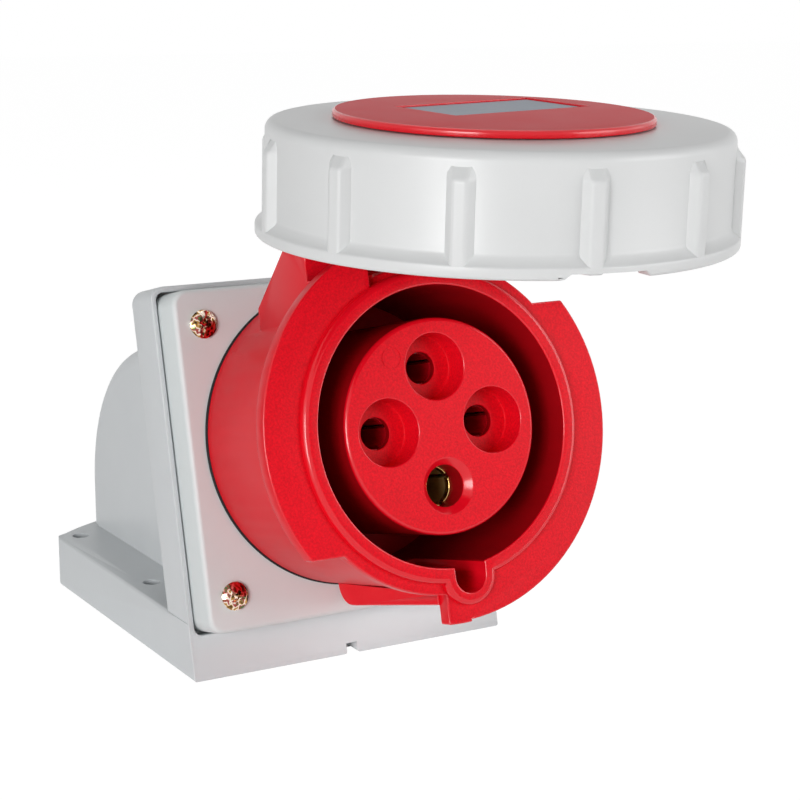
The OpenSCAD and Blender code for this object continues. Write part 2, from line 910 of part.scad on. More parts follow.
module terminal_carrier() {
    color(seal_black)
    on_face()
        difference() {
            union() {
                disc(carrier_r, carrier_back, floor_out);
                disc(carrier_flange_r, floor_out - carrier_flange_t, floor_out);
            }
            for (turn = [0 : 90 : 270])
                contact_place(turn) {
                    tube_r = turn == 270 ? earth_tube_r : phase_tube_r;
                    disc(tube_r + slip, carrier_back, floor_out + over);
                    disc(terminal_d/2 + slip, carrier_back - over, terminal_front);
                    translate([0, 0, terminal_screw_z])
                        rotate([0, 90, 0])
                            cylinder(h = carrier_r, d = terminal_screw_d + 4*gap);
                }
            carrier_screw_places()
                disc(small_screw_r + slip, floor_out - carrier_flange_t - over, floor_out + over);
            carrier_screw_places()
                disc(small_head_r + gap, carrier_back, floor_out - carrier_flange_t);
        }
}

module terminal_screws() {
    reach = carrier_r - pitch_r - 0.3;
    color(zinc_yellow)
    on_face()
        for (turn = [0 : 90 : 270])
            contact_place(turn)
                translate([0, 0, terminal_screw_z])
                    rotate([0, 90, 0])
                        disc(terminal_screw_d/2, wire_d/2 - 1.5, reach);
}

module carrier_screws() {
    color(steel)
    on_face()
        carrier_screw_places()
            translate([0, 0, floor_out - carrier_flange_t])
                mirror([0, 0, 1])
                    pan_screw(small_head_r, small_head_h, small_screw_r, carrier_flange_t + floor_t - 1.5);
}

module sleeve_screws() {
    color(steel)
    on_face()
        sleeve_screw_places()
            translate([0, 0, plate_back - boss_rise])
                mirror([0, 0, 1])
                    pan_screw(small_head_r, small_head_h, small_screw_r,
                              boss_rise + plate_t + sleeve_seal_t + sleeve_screw_grip);
}

module hinge_pin() {
    color(steel)
    on_face()
        along_x(-bracket_x, bracket_x)
            translate([hinge_up, hinge_out])
                circle(pin_d/2);
}

// Cable gland at the round back
module gland_body() {
    color(box_grey)
    along_gland(gland_face)
        difference() {
            union() {
                cylinder(h = gland_hex_t, r = gland_flats/2/cos(30), $fn = 6);
                disc(gland_d/2, -gland_wall - locknut_t - 2, over);
                disc(gland_d/2 - 1, 0, gland_neck_l);
            }
            disc(cable_d/2 + 1, -gland_wall - locknut_t - 2 - over, gland_hex_t + over);
            disc(gland_seat_r, gland_hex_t, gland_neck_l + over);
        }
}

module gland_locknut() {
    color(box_grey)
    along_gland(gland_face - gland_wall - locknut_t)
        difference() {
            cylinder(h = locknut_t, r = gland_flats/2/cos(30), $fn = 6);
            disc(gland_d/2 + slip, -over, locknut_t + over);
        }
}

module gland_seal() {
    color(seal_black)
    along_gland(gland_face)
        tube(gland_seat_r - slip, cable_d/2, gland_hex_t, gland_seal_end);
}

module gland_nut() {
    color(box_grey)
    along_gland(gland_face + gland_hex_t + 0.4)
        difference() {
            union() {
                cylinder(h = nut_hex_l, r = gland_flats/2/cos(30), $fn = 6);
                translate([0, 0, nut_hex_l - over/2])
                    cylinder(h = nut_cone_l, r1 = gland_flats/2 - 0.5, r2 = gland_flats/2 - 4);
            }
            disc(gland_d/2 - 1 + slip, -over, gland_seal_end - gland_hex_t - 0.2);
            disc(cable_d/2 + 0.5, -over, nut_hex_l + nut_cone_l + over);
        }
}

// Lid: cap with hinge arm, red disc over the lock ring, gasket and label
cap_top = ring_top - ring_top_t - 0.4;
cap_low = cap_top - cap_t;
cap_r = ring_in_r - 1;
seal_in_r = mouth_r - 1.3;
seal_out_r = rim_r + 1.5;
seal_low = rim_out + 0.2;
disc_low = ring_top + gap;

module hinge_arm() {
    arm_in = collar_r + 1.5;
    arm_out = sqrt(pow(cap_r - 0.2, 2) - pow(arm_w/2, 2));
    heel_up = knuckle_r + 3.3;
    along_x(-arm_w/2, arm_w/2)
        difference() {
            union() {
                polygon([[arm_in, cap_top], [arm_out, cap_top], [arm_out, hinge_out + 4], [hinge_up, hinge_out],
                         [arm_in + 2, hinge_out + 3]]);
                translate([hinge_up, hinge_out])
                    circle(knuckle_r);
                translate([hinge_up, hinge_out - 1.4])
                    square([heel_up, 2.8]);
            }
            translate([hinge_up, hinge_out])
                circle(pin_d/2 + run);
        }
}

module cap_screw_places() {
    four_corners(1.06*hub_r, 1.06*hub_r)
        children();
}

module lid_cap() {
    color(socket_red)
    at_lid()
        difference() {
            union() {
                disc(cap_r, cap_low, cap_top);
                tube(seal_out_r + 1.8, seal_in_r - 1.8, seal_low + 1.6, cap_low + over);
                hinge_arm();
            }
            tube(seal_out_r, seal_in_r, seal_low, seal_low + seal_t);
            cap_screw_places()
                disc(small_screw_r + slip, cap_low - over, cap_top + over);
        }
}

module cap_disc() {
    edge = 0.8;
    color(socket_red)
    at_lid()
        difference() {
            union() {
                disc(hub_r, cap_top, disc_low + over);
                translate([0, disc_shift, disc_low])
                    rotate_extrude() {
                        square([disc_r, disc_t - edge]);
                        square([disc_r - edge, disc_t]);
                        translate([disc_r - edge, disc_t - edge])
                            circle(edge, $fn = 32);
                    }
            }
            label_place(disc_low + disc_t - label_deep, label_l, label_w, label_deep + over);
            cap_screw_places()
                disc(small_screw_r + slip, cap_top - over, disc_low + 0.2);
        }
}

module label_place(from, l, w, h) {
    translate([label_x, disc_shift + label_y, from])
        rotate(label_turn)
            translate([-l/2, -w/2, 0])
                cube([l, w, h]);
}

module rating_label() {
    label_t = 0.3;
    color(label_grey)
    at_lid()
        label_place(disc_low + disc_t - label_deep, label_l - 2*gap, label_w - 2*gap, label_t);
}

module cap_screws() {
    color(steel)
    at_lid()
        cap_screw_places()
            translate([0, 0, cap_low])
                mirror([0, 0, 1])
                    pan_screw(small_head_r, small_head_h, small_screw_r, cap_t + 3);
}

module lid_gasket() {
    color(seal_black)
    at_lid()
        tube(seal_out_r - slip, seal_in_r + slip, seal_low, seal_low + seal_t);
}

// Lock ring: wall, lip, grip ribs and two bayonet lugs
module ring_profile() {
    wall_low = ring_low + lip_h + lip_slope;
    hole_r = hub_r + 0.5;
    translate([hole_r, ring_top - ring_top_t])
        square([ring_r - hole_r - ring_edge_r, ring_top_t]);
    translate([ring_in_r, ring_low + over])
        square([ring_r - ring_in_r, ring_h - ring_edge_r - over]);
    translate([ring_r - ring_edge_r, ring_top - ring_edge_r])
        circle(ring_edge_r, $fn = 48);
    polygon([[ring_in_r, ring_low], [lip_r, ring_low], [lip_r, ring_low + lip_h], [ring_r, wall_low],
             [ring_in_r, wall_low]]);
}

module ring_ribs() {
    crest_r = lip_r - 0.1;
    rib_top = ring_top - rib_drop;
    intersection() {
        rotate_extrude()
            polygon([[ring_in_r + over, ring_low + over], [crest_r, ring_low + over],
                     [crest_r, rib_top - 3.4], [ring_r, rib_top], [ring_in_r + over, rib_top]]);
        for (i = [0 : rib_count - 1])
            rotate(-rib_start - i*360/rib_count)
                translate([0, 0, ring_low])
                    linear_extrude(ring_h)
                        polygon([[-rib_foot/2, ring_in_r], [rib_foot/2, ring_in_r], [rib_foot/2, ring_r],
                                 [rib_crest/2, lip_r + over], [-rib_crest/2, lip_r + over],
                                 [-rib_foot/2, ring_r]]);
    }
}

module lock_ring() {
    index_mid = 188;
    index_angle = 20;
    color(ring_white)
    at_lid()
        rotate(-ring_turn)
            difference() {
                union() {
                    rotate_extrude()
                        ring_profile();
                    ring_ribs();
                    for (turn = [lug_mid, lug_mid + 180])
                        rotate(90 - turn - lug_angle/2)
                            rotate_extrude(angle = lug_angle)
                                translate([lug_r, ring_low + gap])
                                    square([ring_in_r + over - lug_r, lug_t]);
                }
                rotate(90 - index_mid - index_angle/2)
                    rotate_extrude(angle = index_angle)
                        translate([ring_in_r - over, ring_low - over])
                            square([lip_r - ring_in_r + 2*over, index_h + over]);
            }
}

mounting_box();
plate_gasket();
socket_plate();
plate_screws();
sleeve_seal();
socket_sleeve();
contact_insert();
phase_contact(180);  // phase_contact_1
phase_contact(90);  // phase_contact_2
phase_contact(0);  // phase_contact_3
earth_contact();
contact_spring(180, phase_tube_r, phase_tube_front);  // contact_spring_1
contact_spring(90, phase_tube_r, phase_tube_front);  // contact_spring_2
contact_spring(0, phase_tube_r, phase_tube_front);  // contact_spring_3
contact_spring(270, earth_tube_r, earth_tube_front);  // earth_spring
terminal_carrier();
terminal_screws();
carrier_screws();
sleeve_screws();
hinge_pin();
gland_body();
gland_locknut();
gland_seal();
gland_nut();
lid_cap();
cap_disc();
cap_screws();
lid_gasket();
rating_label();
lock_ring();
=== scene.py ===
import json
import math

import bmesh
import bpy
from mathutils import Matrix, Vector


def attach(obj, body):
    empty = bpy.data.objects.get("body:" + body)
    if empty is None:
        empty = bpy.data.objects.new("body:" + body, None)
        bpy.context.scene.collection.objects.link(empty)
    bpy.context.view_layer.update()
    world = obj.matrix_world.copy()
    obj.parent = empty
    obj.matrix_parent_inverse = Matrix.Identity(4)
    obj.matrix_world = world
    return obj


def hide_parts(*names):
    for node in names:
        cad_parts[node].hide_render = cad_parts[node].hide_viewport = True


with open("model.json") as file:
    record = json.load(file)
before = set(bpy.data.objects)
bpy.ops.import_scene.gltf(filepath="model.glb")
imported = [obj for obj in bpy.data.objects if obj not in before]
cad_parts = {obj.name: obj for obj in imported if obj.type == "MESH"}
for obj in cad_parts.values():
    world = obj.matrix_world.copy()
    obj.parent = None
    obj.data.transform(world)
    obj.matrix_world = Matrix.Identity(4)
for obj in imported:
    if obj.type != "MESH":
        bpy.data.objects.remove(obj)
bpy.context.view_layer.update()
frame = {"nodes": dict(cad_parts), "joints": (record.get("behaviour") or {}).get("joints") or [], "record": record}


# Mounting box: a hollow moulding of light grey plastic with a domed back, two side shelves and a
# framed sloping front. It comes in one piece, and its edges are rounded by the mould.
mm = 0.001
weld = 0.004*mm
flat_angle = math.radians(0.5)


def merged_mesh(node):
    """A CAD node's loose triangles joined, with the flat ones made into whole faces."""
    bm = bmesh.new()
    bm.from_mesh(frame["nodes"][node].data)
    bmesh.ops.remove_doubles(bm, verts=bm.verts, dist=weld)
    bmesh.ops.dissolve_degenerate(bm, edges=bm.edges, dist=weld)
    bmesh.ops.dissolve_limit(bm, angle_limit=flat_angle, verts=bm.verts, edges=bm.edges)
    return bm


def new_object(name, bm):
    """Puts a finished mesh into the scene."""
    mesh = bpy.data.meshes.new(name)
    bm.to_mesh(mesh)
    bm.free()
    obj = bpy.data.objects.new(name, mesh)
    bpy.context.scene.collection.objects.link(obj)
    return obj


def settle(obj):
    """Turns the object with its modifiers into a plain mesh."""
    graph = bpy.context.evaluated_depsgraph_get()
    mesh = bpy.data.meshes.new_from_object(obj.evaluated_get(graph), depsgraph=graph)
    mesh.name = obj.name
    obj.modifiers.clear()
    obj.data = mesh


def smooth_by_angle(obj, angle=35):
    """Smooth shading, with the edges that turn by more than the angle left sharp."""
    obj.data.shade_smooth()
    obj.data.set_sharp_from_angle(angle=math.radians(angle))


def round_edges(obj, width, steps=3, sharp=35, slimmest=2.4, slot=-1, wide=None, keep=None):
    """Rounds the sharp outer edges as a mould does. An edge of a slim face gets a smaller rounding.
    Wide holds a test and the larger rounding of the edges that pass it. Keep is a test for edges that
    are left sharp, as inner edges are. Slot is the material of the roundings."""
    largest = wide[1] if wide else width
    bm = bmesh.new()
    bm.from_mesh(obj.data)
    weight = bm.edges.layers.float.new("bevel_weight_edge")
    for edge in bm.edges:
        edge.smooth = True
        if len(edge.link_faces) != 2 or edge.calc_face_angle(0) <= math.radians(sharp):
            continue
        if not edge.is_convex or keep and keep(edge):
            edge.smooth = False
            continue
        length = max(edge.calc_length(), 1e-9)
        room = min(face.calc_area()/max(length, 1*mm) for face in edge.link_faces)
        asked = largest if wide and wide[0](edge) else min(width, room/slimmest)
        edge[weight] = asked/largest
    for face in bm.faces:
        face.smooth = True
    bm.to_mesh(obj.data)
    bm.free()
    bevel = obj.modifiers.new("rounding", "BEVEL")
    bevel.limit_method = "WEIGHT"
    bevel.width = largest
    bevel.segments = steps
    bevel.use_clamp_overlap = False
    bevel.harden_normals = True
    bevel.loop_slide = False
    bevel.material = slot
    settle(obj)


def new_group(name, inputs, outputs):
    """An empty shader group with number inputs, each with its default, and number outputs."""
    group = bpy.data.node_groups.new(name, "ShaderNodeTree")
    for socket, value in inputs.items():
        made = group.interface.new_socket(name=socket, in_out="INPUT", socket_type="NodeSocketFloat")
        made.default_value = value
    for socket in outputs:
        group.interface.new_socket(name=socket, in_out="OUTPUT", socket_type="NodeSocketFloat")
    entry = group.nodes.new("NodeGroupInput")
    leave = group.nodes.new("NodeGroupOutput")
    return group, entry, leave


def mould_skin_group():
    """Grain left by the mould's eroded face, and a slow mottle of the plastic's shade."""
    group, entry, leave = new_group("mould skin", {"Grain": 1500.0, "Mottle": 60.0}, ["Height", "Shade"])
    place = group.nodes.new("ShaderNodeTexCoord")
    grain = group.nodes.new("ShaderNodeTexNoise")
    grain.inputs["Detail"].default_value = 3
    grain.inputs["Roughness"].default_value = 0.6
    mottle = group.nodes.new("ShaderNodeTexNoise")
    mottle.inputs["Detail"].default_value = 2
    group.links.new(place.outputs["Object"], grain.inputs["Vector"])
    group.links.new(place.outputs["Object"], mottle.inputs["Vector"])
    group.links.new(entry.outputs["Grain"], grain.inputs["Scale"])
    group.links.new(entry.outputs["Mottle"], mottle.inputs["Scale"])
    group.links.new(grain.outputs["Fac"], leave.inputs["Height"])
    group.links.new(mottle.outputs["Fac"], leave.inputs["Shade"])
    return group


mould_skin = mould_skin_group()


# a colour Mix node's sockets
mix_share, mix_first, mix_second, mix_colour = 0, 6, 7, 2


def skinned_material(name, grain, dark, light, drift):
    """A material with the mould's skin. Its colour goes from dark to light by one of the skin's outputs."""
    material = bpy.data.materials.new(name)
    material.use_nodes = True
    tree = material.node_tree
    shader = tree.nodes["Principled BSDF"]
    skin = tree.nodes.new("ShaderNodeGroup")
    skin.node_tree = mould_skin
    skin.inputs["Grain"].default_value = grain
    tint = tree.nodes.new("ShaderNodeMix")
    tint.data_type = "RGBA"
    tint.inputs[mix_first].default_value = (*dark, 1)
    tint.inputs[mix_second].default_value = (*light, 1)
    tree.links.new(skin.outputs[drift], tint.inputs[mix_share])
    tree.links.new(tint.outputs[mix_colour], shader.inputs["Base Color"])
    return material, tree, shader, skin


def drifting_gloss(tree, shader, drift, roughness, spread):
    """Lets the roughness drift about its middle value."""
    gloss = tree.nodes.new("ShaderNodeMapRange")
    gloss.inputs["To Min"].default_value = roughness - spread
    gloss.inputs["To Max"].default_value = roughness + spread
    tree.links.new(drift, gloss.inputs["Value"])
    tree.links.new(gloss.outputs["Result"], shader.inputs["Roughness"])


def grain_relief(tree, shader, height, strength, depth):
    """Raises the skin's grain from the surface."""
    relief = tree.nodes.new("ShaderNodeBump")
    relief.inputs["Strength"].default_value = strength
    relief.inputs["Distance"].default_value = depth
    tree.links.new(height, relief.inputs["Height"])
    tree.links.new(relief.outputs["Normal"], shader.inputs["Normal"])


def paint_light_on_grain(tree, shader, height, grain_light_contrast):
    """Paints light and shade on the grain: its tops lighter, as if lit, and its pits darker, as if shaded."""
    pit_level, top_level = 0.35, 0.65
    colour = shader.inputs["Base Color"].links[0].from_socket
    pit_shade = tree.nodes.new("ShaderNodeMapRange")
    pit_shade.inputs["From Min"].default_value = pit_level
    pit_shade.inputs["From Max"].default_value = top_level
    pit_shade.inputs["To Min"].default_value = 1 - grain_light_contrast
    pit_shade.inputs["To Max"].default_value = 1 + grain_light_contrast
    lit_grain_colour = tree.nodes.new("ShaderNodeVectorMath")
    lit_grain_colour.operation = "SCALE"
    tree.links.new(height, pit_shade.inputs["Value"])
    tree.links.new(colour, lit_grain_colour.inputs[0])
    tree.links.new(pit_shade.outputs["Result"], lit_grain_colour.inputs["Scale"])
    tree.links.new(lit_grain_colour.outputs["Vector"], shader.inputs["Base Color"])


def moulded_plastic(name, dark, light, roughness, grain=1500.0, depth=0.02*mm, strength=0.15,
                    specular=0.4, grain_light_contrast=0.0):
    """Plastic with the mould's skin: the shade drifts between two close colours, the grain is relief. A grain
    contrast above zero also paints light on the grain's tops and shade in its pits.
    """
    material, tree, shader, skin = skinned_material(name, grain, dark, light, "Shade")
    if grain_light_contrast:
        paint_light_on_grain(tree, shader, skin.outputs["Height"], grain_light_contrast)
    drifting_gloss(tree, shader, skin.outputs["Shade"], roughness, 0.05)
    grain_relief(tree, shader, skin.outputs["Height"], strength, depth)
    shader.inputs["Specular IOR Level"].default_value = specular
    return material


def dress(obj, material, body, slot, *replaced):
    """Gives a piece its material and the body it rides on, and hides the CAD nodes that it replaces. The slot is
    not used.
    """
    obj.data.materials.clear()
    obj.data.materials.append(material)
    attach(obj, body)
    if replaced:
        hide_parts(*replaced)


box_plastic = moulded_plastic("box grey plastic", (0.612, 0.636, 0.651), (0.662, 0.686, 0.696), 0.40)
shelf_side = 50.5*mm
shelf_top = 16.0*mm
shelf_end_y = -56.25*mm
close_by = 0.05*mm


def on_shelf_edge(edge):
    return all(abs(abs(vert.co.x) - shelf_side) + abs(vert.co.z - shelf_top) < close_by
               for vert in edge.verts)


bm = merged_mesh("mounting_box")
for edge in [edge for edge in bm.edges if on_shelf_edge(edge)]:
    front, rear = sorted(edge.verts, key=lambda vert: vert.co.y)
    if front.co.y < shelf_end_y < rear.co.y:
        bmesh.utils.edge_split(edge, front, (shelf_end_y - front.co.y)/(rear.co.y - front.co.y))
box = new_object("mounting_box_shell", bm)

mounts = {mount["name"]: mount for mount in frame["record"]["mounts"]}
shell_edge_r = 0.9*mm
frame_edge_r = 0.4*mm
hole_facet = 2.5*mm
bore_mid_out = 42.2*mm
outward = Vector(mounts["phase_bore_1"]["axis"]).normalized()
across = Vector((1, 0, 0))
up_slope = outward.cross(across)
bore_mid = (Vector(mounts["phase_bore_1"]["pos_m"]) + Vector(mounts["phase_bore_3"]["pos_m"]))/2
face_origin = bore_mid - bore_mid_out*outward
face = Matrix.Translation(face_origin) @ Matrix((across, up_slope, outward)).transposed().to_4x4()


def stays_sharp(edge):
    """True for the rims of the shelves' holes, and for the narrow step between a shelf and the frame."""
    hole_rim = edge.calc_length() < hole_facet and any(side.normal.z > 0.99 for side in edge.link_faces)
    at_frame = all(vert.co.y < shelf_end_y + 2*close_by for vert in edge.verts)
    return hole_rim or on_shelf_edge(edge) and at_frame


def off_frame_front(edge):
    return all(side.normal.dot(outward) < 0.95 for side in edge.link_faces)


round_edges(box, frame_edge_r, wide=(off_frame_front, shell_edge_r), keep=stays_sharp)
dress(box, box_plastic, "socket", "box_plastic", "mounting_box")


# Plate gasket: a black rubber frame in the groove between plate and box. It is die cut from sheet
# and squeezed when the plate's screws are tightened. The seals of lid and gland are of the same rubber.
def rubber_black():
    """Dull black rubber with a fine grain."""
    material, tree, shader, skin = skinned_material(
        "seal rubber", 2500.0, (0.010, 0.010, 0.011), (0.022, 0.022, 0.024), "Height")
    grain_relief(tree, shader, skin.outputs["Height"], 0.3, 0.03*mm)
    shader.inputs["Roughness"].default_value = 0.6
    shader.inputs["Specular IOR Level"].default_value = 0.15
    return material


seal_rubber = rubber_black()


def finish_node(node, material):
    """Gives a CAD node its material and leaves its mesh as it is."""
    mesh = frame["nodes"][node].data
    mesh.materials.clear()
    mesh.materials.append(material)


for node in ("plate_gasket", "lid_gasket", "gland_seal"):
    finish_node(node, seal_rubber)


# Socket plate: a shallow grey tray that closes the box front and carries the socket. It is moulded
# with soft edges and held by a screw in each corner.
plate_w = 96.4*mm
plate_h = 96.1*mm
plate_mid_y = -3.05*mm
plate_back = -4.5*mm
plate_front = 10.0*mm
plate_corner_r = 4.5*mm
plate_edge_r = 1.5*mm


def rounded_rectangle(w, h, mid_y, r, steps=10):
    """Points of a rectangle with round corners, anticlockwise."""
    points = []
    for corner, (side_x, side_y) in enumerate(((1, 1), (-1, 1), (-1, -1), (1, -1))):
        for i in range(steps + 1):
            turn = math.radians(90*(corner + i/steps))
            points.append((side_x*(w/2 - r) + r*math.cos(turn),
                           mid_y + side_y*(h/2 - r) + r*math.sin(turn)))
    return points


def stacked_rings(bm, rings):
    """Joins rings of points into a closed skin, and caps both ends."""
    made = [[bm.verts.new(point) for point in ring] for ring in rings]
    for low, high in zip(made, made[1:]):
        for i in range(len(low)):
            bm.faces.new((low[i - 1], low[i], high[i], high[i - 1]))
    bm.faces.new(reversed(made[0]))
    bm.faces.new(made[-1])


edge_steps = 8
rings = [[(x, y, plate_back) for x, y in rounded_rectangle(plate_w, plate_h, plate_mid_y, plate_corner_r)]]
for i in range(edge_steps + 1):
    turn = math.radians(90*i/edge_steps)
    inset = plate_edge_r*(1 - math.cos(turn))
    z = plate_front - plate_edge_r*(1 - math.sin(turn))
    outline = rounded_rectangle(plate_w - 2*inset, plate_h - 2*inset, plate_mid_y, plate_corner_r - inset)
    rings.append([(x, y, z) for x, y in outline])
bm = bmesh.new()
stacked_rings(bm, rings)
plate = new_object("socket_plate_front", bm)
plate.data.transform(face)
smooth_by_angle(plate, 40)
plate_plastic = moulded_plastic("plate grey plastic", (0.70, 0.74, 0.74), (0.735, 0.775, 0.775), 0.42)
dress(plate, plate_plastic, "socket", "plate_plastic", "socket_plate")


# Plate screws: four pan head screws of steel, zinc plated and passivated yellow, with a cross recess
# and a slot in one. They clamp the plate on its gasket. The terminals' screws have the same finish.
def lathe(bm, profile, steps):
    """Turns a closed profile of (radius, height) points about Z. Points on the axis become poles."""
    rows = []
    for radius, height in profile:
        if radius < 1e-9:
            rows.append([bm.verts.new((0, 0, height))]*steps)
            continue
        ring = []
        for i in range(steps):
            turn = 2*math.pi*i/steps
            ring.append(bm.verts.new((radius*math.cos(turn), radius*math.sin(turn), height)))
        rows.append(ring)
    for low, high in zip(rows, rows[1:] + rows[:1]):
        if len(set(low)) == 1 and len(set(high)) == 1:
            continue
        for i in range(steps):
            corners = []
            for vert in (low[i - 1], low[i], high[i], high[i - 1]):
                if vert not in corners:
                    corners.append(vert)
            bm.faces.new(corners)
    bmesh.ops.recalc_face_normals(bm, faces=bm.faces)


def arc(center_x, center_y, r, start, end, steps):
    """Points along an arc, from the start angle to the end angle in degrees."""
    turns = [math.radians(start + (end - start)*i/steps) for i in range(steps + 1)]
    return [(center_x + r*math.cos(turn), center_y + r*math.sin(turn)) for turn in turns]


def block(bm, low, high):
    """A box between two opposite corners."""
    made = bmesh.ops.create_cube(bm, size=1)["verts"]
    for vert in made:
        for i in range(3):
            vert.co[i] = low[i] if vert.co[i] < 0 else high[i]
    return made


def carve(obj, *cutters):
    """Cuts the cutters out of the object, and removes them."""
    for cutter in cutters:
        cut = obj.modifiers.new("cut", "BOOLEAN")
        cut.operation = "DIFFERENCE"
        cut.solver = "EXACT"
        cut.object = cutter
    settle(obj)
    for cutter in cutters:
        bpy.data.objects.remove(cutter)


head_r = 4.0*mm
head_h = 2.4*mm
head_edge = 0.9*mm
crown_r = 6.0*mm
crown_low = head_h - crown_r
shank_r = 1.9*mm
shank_l = 6*mm
recess_low = head_h - 1.9*mm
arm_half_l = 2.4*mm
arm_half_w = 0.6*mm
arm_taper_l = 0.4
arm_taper_w = 0.7
slot_low = head_h - 1.3*mm
slot_half_l = 5*mm
slot_half_w = 0.5*mm
cut_top = head_h + 1*mm
bm = bmesh.new()
crown = [(crown_r*math.sin(math.radians(a)), crown_low + crown_r*math.cos(math.radians(a)))
         for a in range(0, 37, 4)]
shoulder = [(head_r, head_edge), (head_r - 0.15*mm, 0.2*mm), (head_r - 0.35*mm, 0)]
lathe(bm, crown + shoulder + [(shank_r, 0), (shank_r, -shank_l), (0, -shank_l)], 64)
screw = new_object("plate_screw", bm)
arms = []
for turn in (0, 90):
    bm = bmesh.new()
    for vert in block(bm, (-arm_half_l, -arm_half_w, recess_low), (arm_half_l, arm_half_w, cut_top)):
        if vert.co.z < head_h:
            vert.co.x *= arm_taper_l
            vert.co.y *= arm_taper_w
    arms.append(new_object("cross recess", bm))
    arms[-1].data.transform(Matrix.Rotation(math.radians(turn), 4, "Z"))
bm = bmesh.new()
block(bm, (-slot_half_l, -slot_half_w, slot_low), (slot_half_l, slot_half_w, cut_top))
carve(screw, *arms, new_object("slot recess", bm))
smooth_by_angle(screw, 30)


def copying_tree(name, sizes):
    """A tree that puts copies of a piece on points. Sizes are its inputs beside the piece and the finish.
    Returns the tree, its inputs' identifiers, the input node, and the sockets for points and turns."""
    tree = bpy.data.node_groups.new(name, "GeometryNodeTree")
    tree.is_modifier = True
    sockets = {}
    for socket, kind, value in (("Piece", "Object", None), *sizes, ("Finish", "Material", None)):
        made = tree.interface.new_socket(name=socket, in_out="INPUT", socket_type="NodeSocket" + kind)
        if value is not None:
            made.default_value = value
        sockets[socket] = made.identifier
    tree.interface.new_socket(name="Geometry", in_out="OUTPUT", socket_type="NodeSocketGeometry")
    entry = tree.nodes.new("NodeGroupInput")
    leave = tree.nodes.new("NodeGroupOutput")
    piece = tree.nodes.new("GeometryNodeObjectInfo")
    spin = tree.nodes.new("ShaderNodeCombineXYZ")
    copies = tree.nodes.new("GeometryNodeInstanceOnPoints")
    real = tree.nodes.new("GeometryNodeRealizeInstances")
    finish = tree.nodes.new("GeometryNodeSetMaterial")
    tree.links.new(entry.outputs["Piece"], piece.inputs["Object"])
    tree.links.new(piece.outputs["Geometry"], copies.inputs["Instance"])
    tree.links.new(spin.outputs["Vector"], copies.inputs["Rotation"])
    tree.links.new(copies.outputs["Instances"], real.inputs["Geometry"])
    tree.links.new(real.outputs["Geometry"], finish.inputs["Geometry"])
    tree.links.new(entry.outputs["Finish"], finish.inputs["Material"])
    tree.links.new(finish.outputs["Geometry"], leave.inputs["Geometry"])
    return tree, sockets, entry, copies.inputs["Points"], spin.inputs["Z"]


def corner_copies_tree():
    """Copies of a piece on the corners of a rectangle, each with its own turn."""
    random_max, random_number = 3, 1
    tree, sockets, entry, points, turns = copying_tree("corner copies", (
        ("Span X", "Float", 1.0), ("Span Y", "Float", 1.0), ("Seed", "Int", 3)))
    corners = tree.nodes.new("GeometryNodeMeshGrid")
    corners.inputs["Vertices X"].default_value = 2
    corners.inputs["Vertices Y"].default_value = 2
    turn = tree.nodes.new("FunctionNodeRandomValue")
    turn.data_type = "FLOAT"
    turn.inputs[random_max].default_value = 2*math.pi
    tree.links.new(entry.outputs["Span X"], corners.inputs["Size X"])
    tree.links.new(entry.outputs["Span Y"], corners.inputs["Size Y"])
    tree.links.new(entry.outputs["Seed"], turn.inputs["Seed"])
    tree.links.new(corners.outputs["Mesh"], points)
    tree.links.new(turn.outputs[random_number], turns)
    return tree, sockets


def copies_of(name, tree, sockets, values):
    """Runs a copying tree with its values, and keeps the plain mesh."""
    mesh = bpy.data.meshes.new(name)
    obj = bpy.data.objects.new(name, mesh)
    bpy.context.scene.collection.objects.link(obj)
    modifier = obj.modifiers.new("copies", "NODES")
    modifier.node_group = tree
    for socket, value in values.items():
        modifier[sockets[socket]] = value
    settle(obj)
    return obj


def yellow_zinc():
    """Passivated zinc: bright metal with a thin film that shifts between gold, rose and green."""
    material = bpy.data.materials.new("yellow zinc")
    material.use_nodes = True
    tree = material.node_tree
    shader = tree.nodes["Principled BSDF"]
    place = tree.nodes.new("ShaderNodeTexCoord")
    film = tree.nodes.new("ShaderNodeTexNoise")
    film.inputs["Scale"].default_value = 620.0
    film.inputs["Detail"].default_value = 1
    ramp = tree.nodes.new("ShaderNodeValToRGB")
    bands = ((0.30, (0.03, 0.02, 0.015)), (0.42, (0.50, 0.26, 0.07)), (0.50, (0.92, 0.84, 0.72)),
             (0.57, (0.38, 0.05, 0.05)), (0.68, (0.10, 0.15, 0.06)))
    for element, (position, colour) in zip(ramp.color_ramp.elements, (bands[0], bands[-1])):
        element.position = position
        element.color = (*colour, 1)
    for position, colour in bands[1:-1]:
        ramp.color_ramp.elements.new(position).color = (*colour, 1)
    tree.links.new(place.outputs["Object"], film.inputs["Vector"])
    tree.links.new(film.outputs["Fac"], ramp.inputs["Fac"])
    tree.links.new(ramp.outputs["Color"], shader.inputs["Base Color"])
    shader.inputs["Metallic"].default_value = 1.0
    shader.inputs["Roughness"].default_value = 0.16
    return material


zinc_steel = yellow_zinc()
screw_span_x = 80*mm
screw_span_y = 76.1*mm
corner_copies, corner_sockets = corner_copies_tree()
screws = copies_of("plate_screw_heads", corner_copies, corner_sockets, {
    "Piece": screw, "Span X": screw_span_x, "Span Y": screw_span_y, "Seed": 3, "Finish": zinc_steel})
bpy.data.objects.remove(screw)
screws.data.transform(face @ Matrix.Translation((0, plate_mid_y, plate_front)))
dress(screws, zinc_steel, "socket", "zinc_steel", "plate_screws")
finish_node("terminal_screws", zinc_steel)


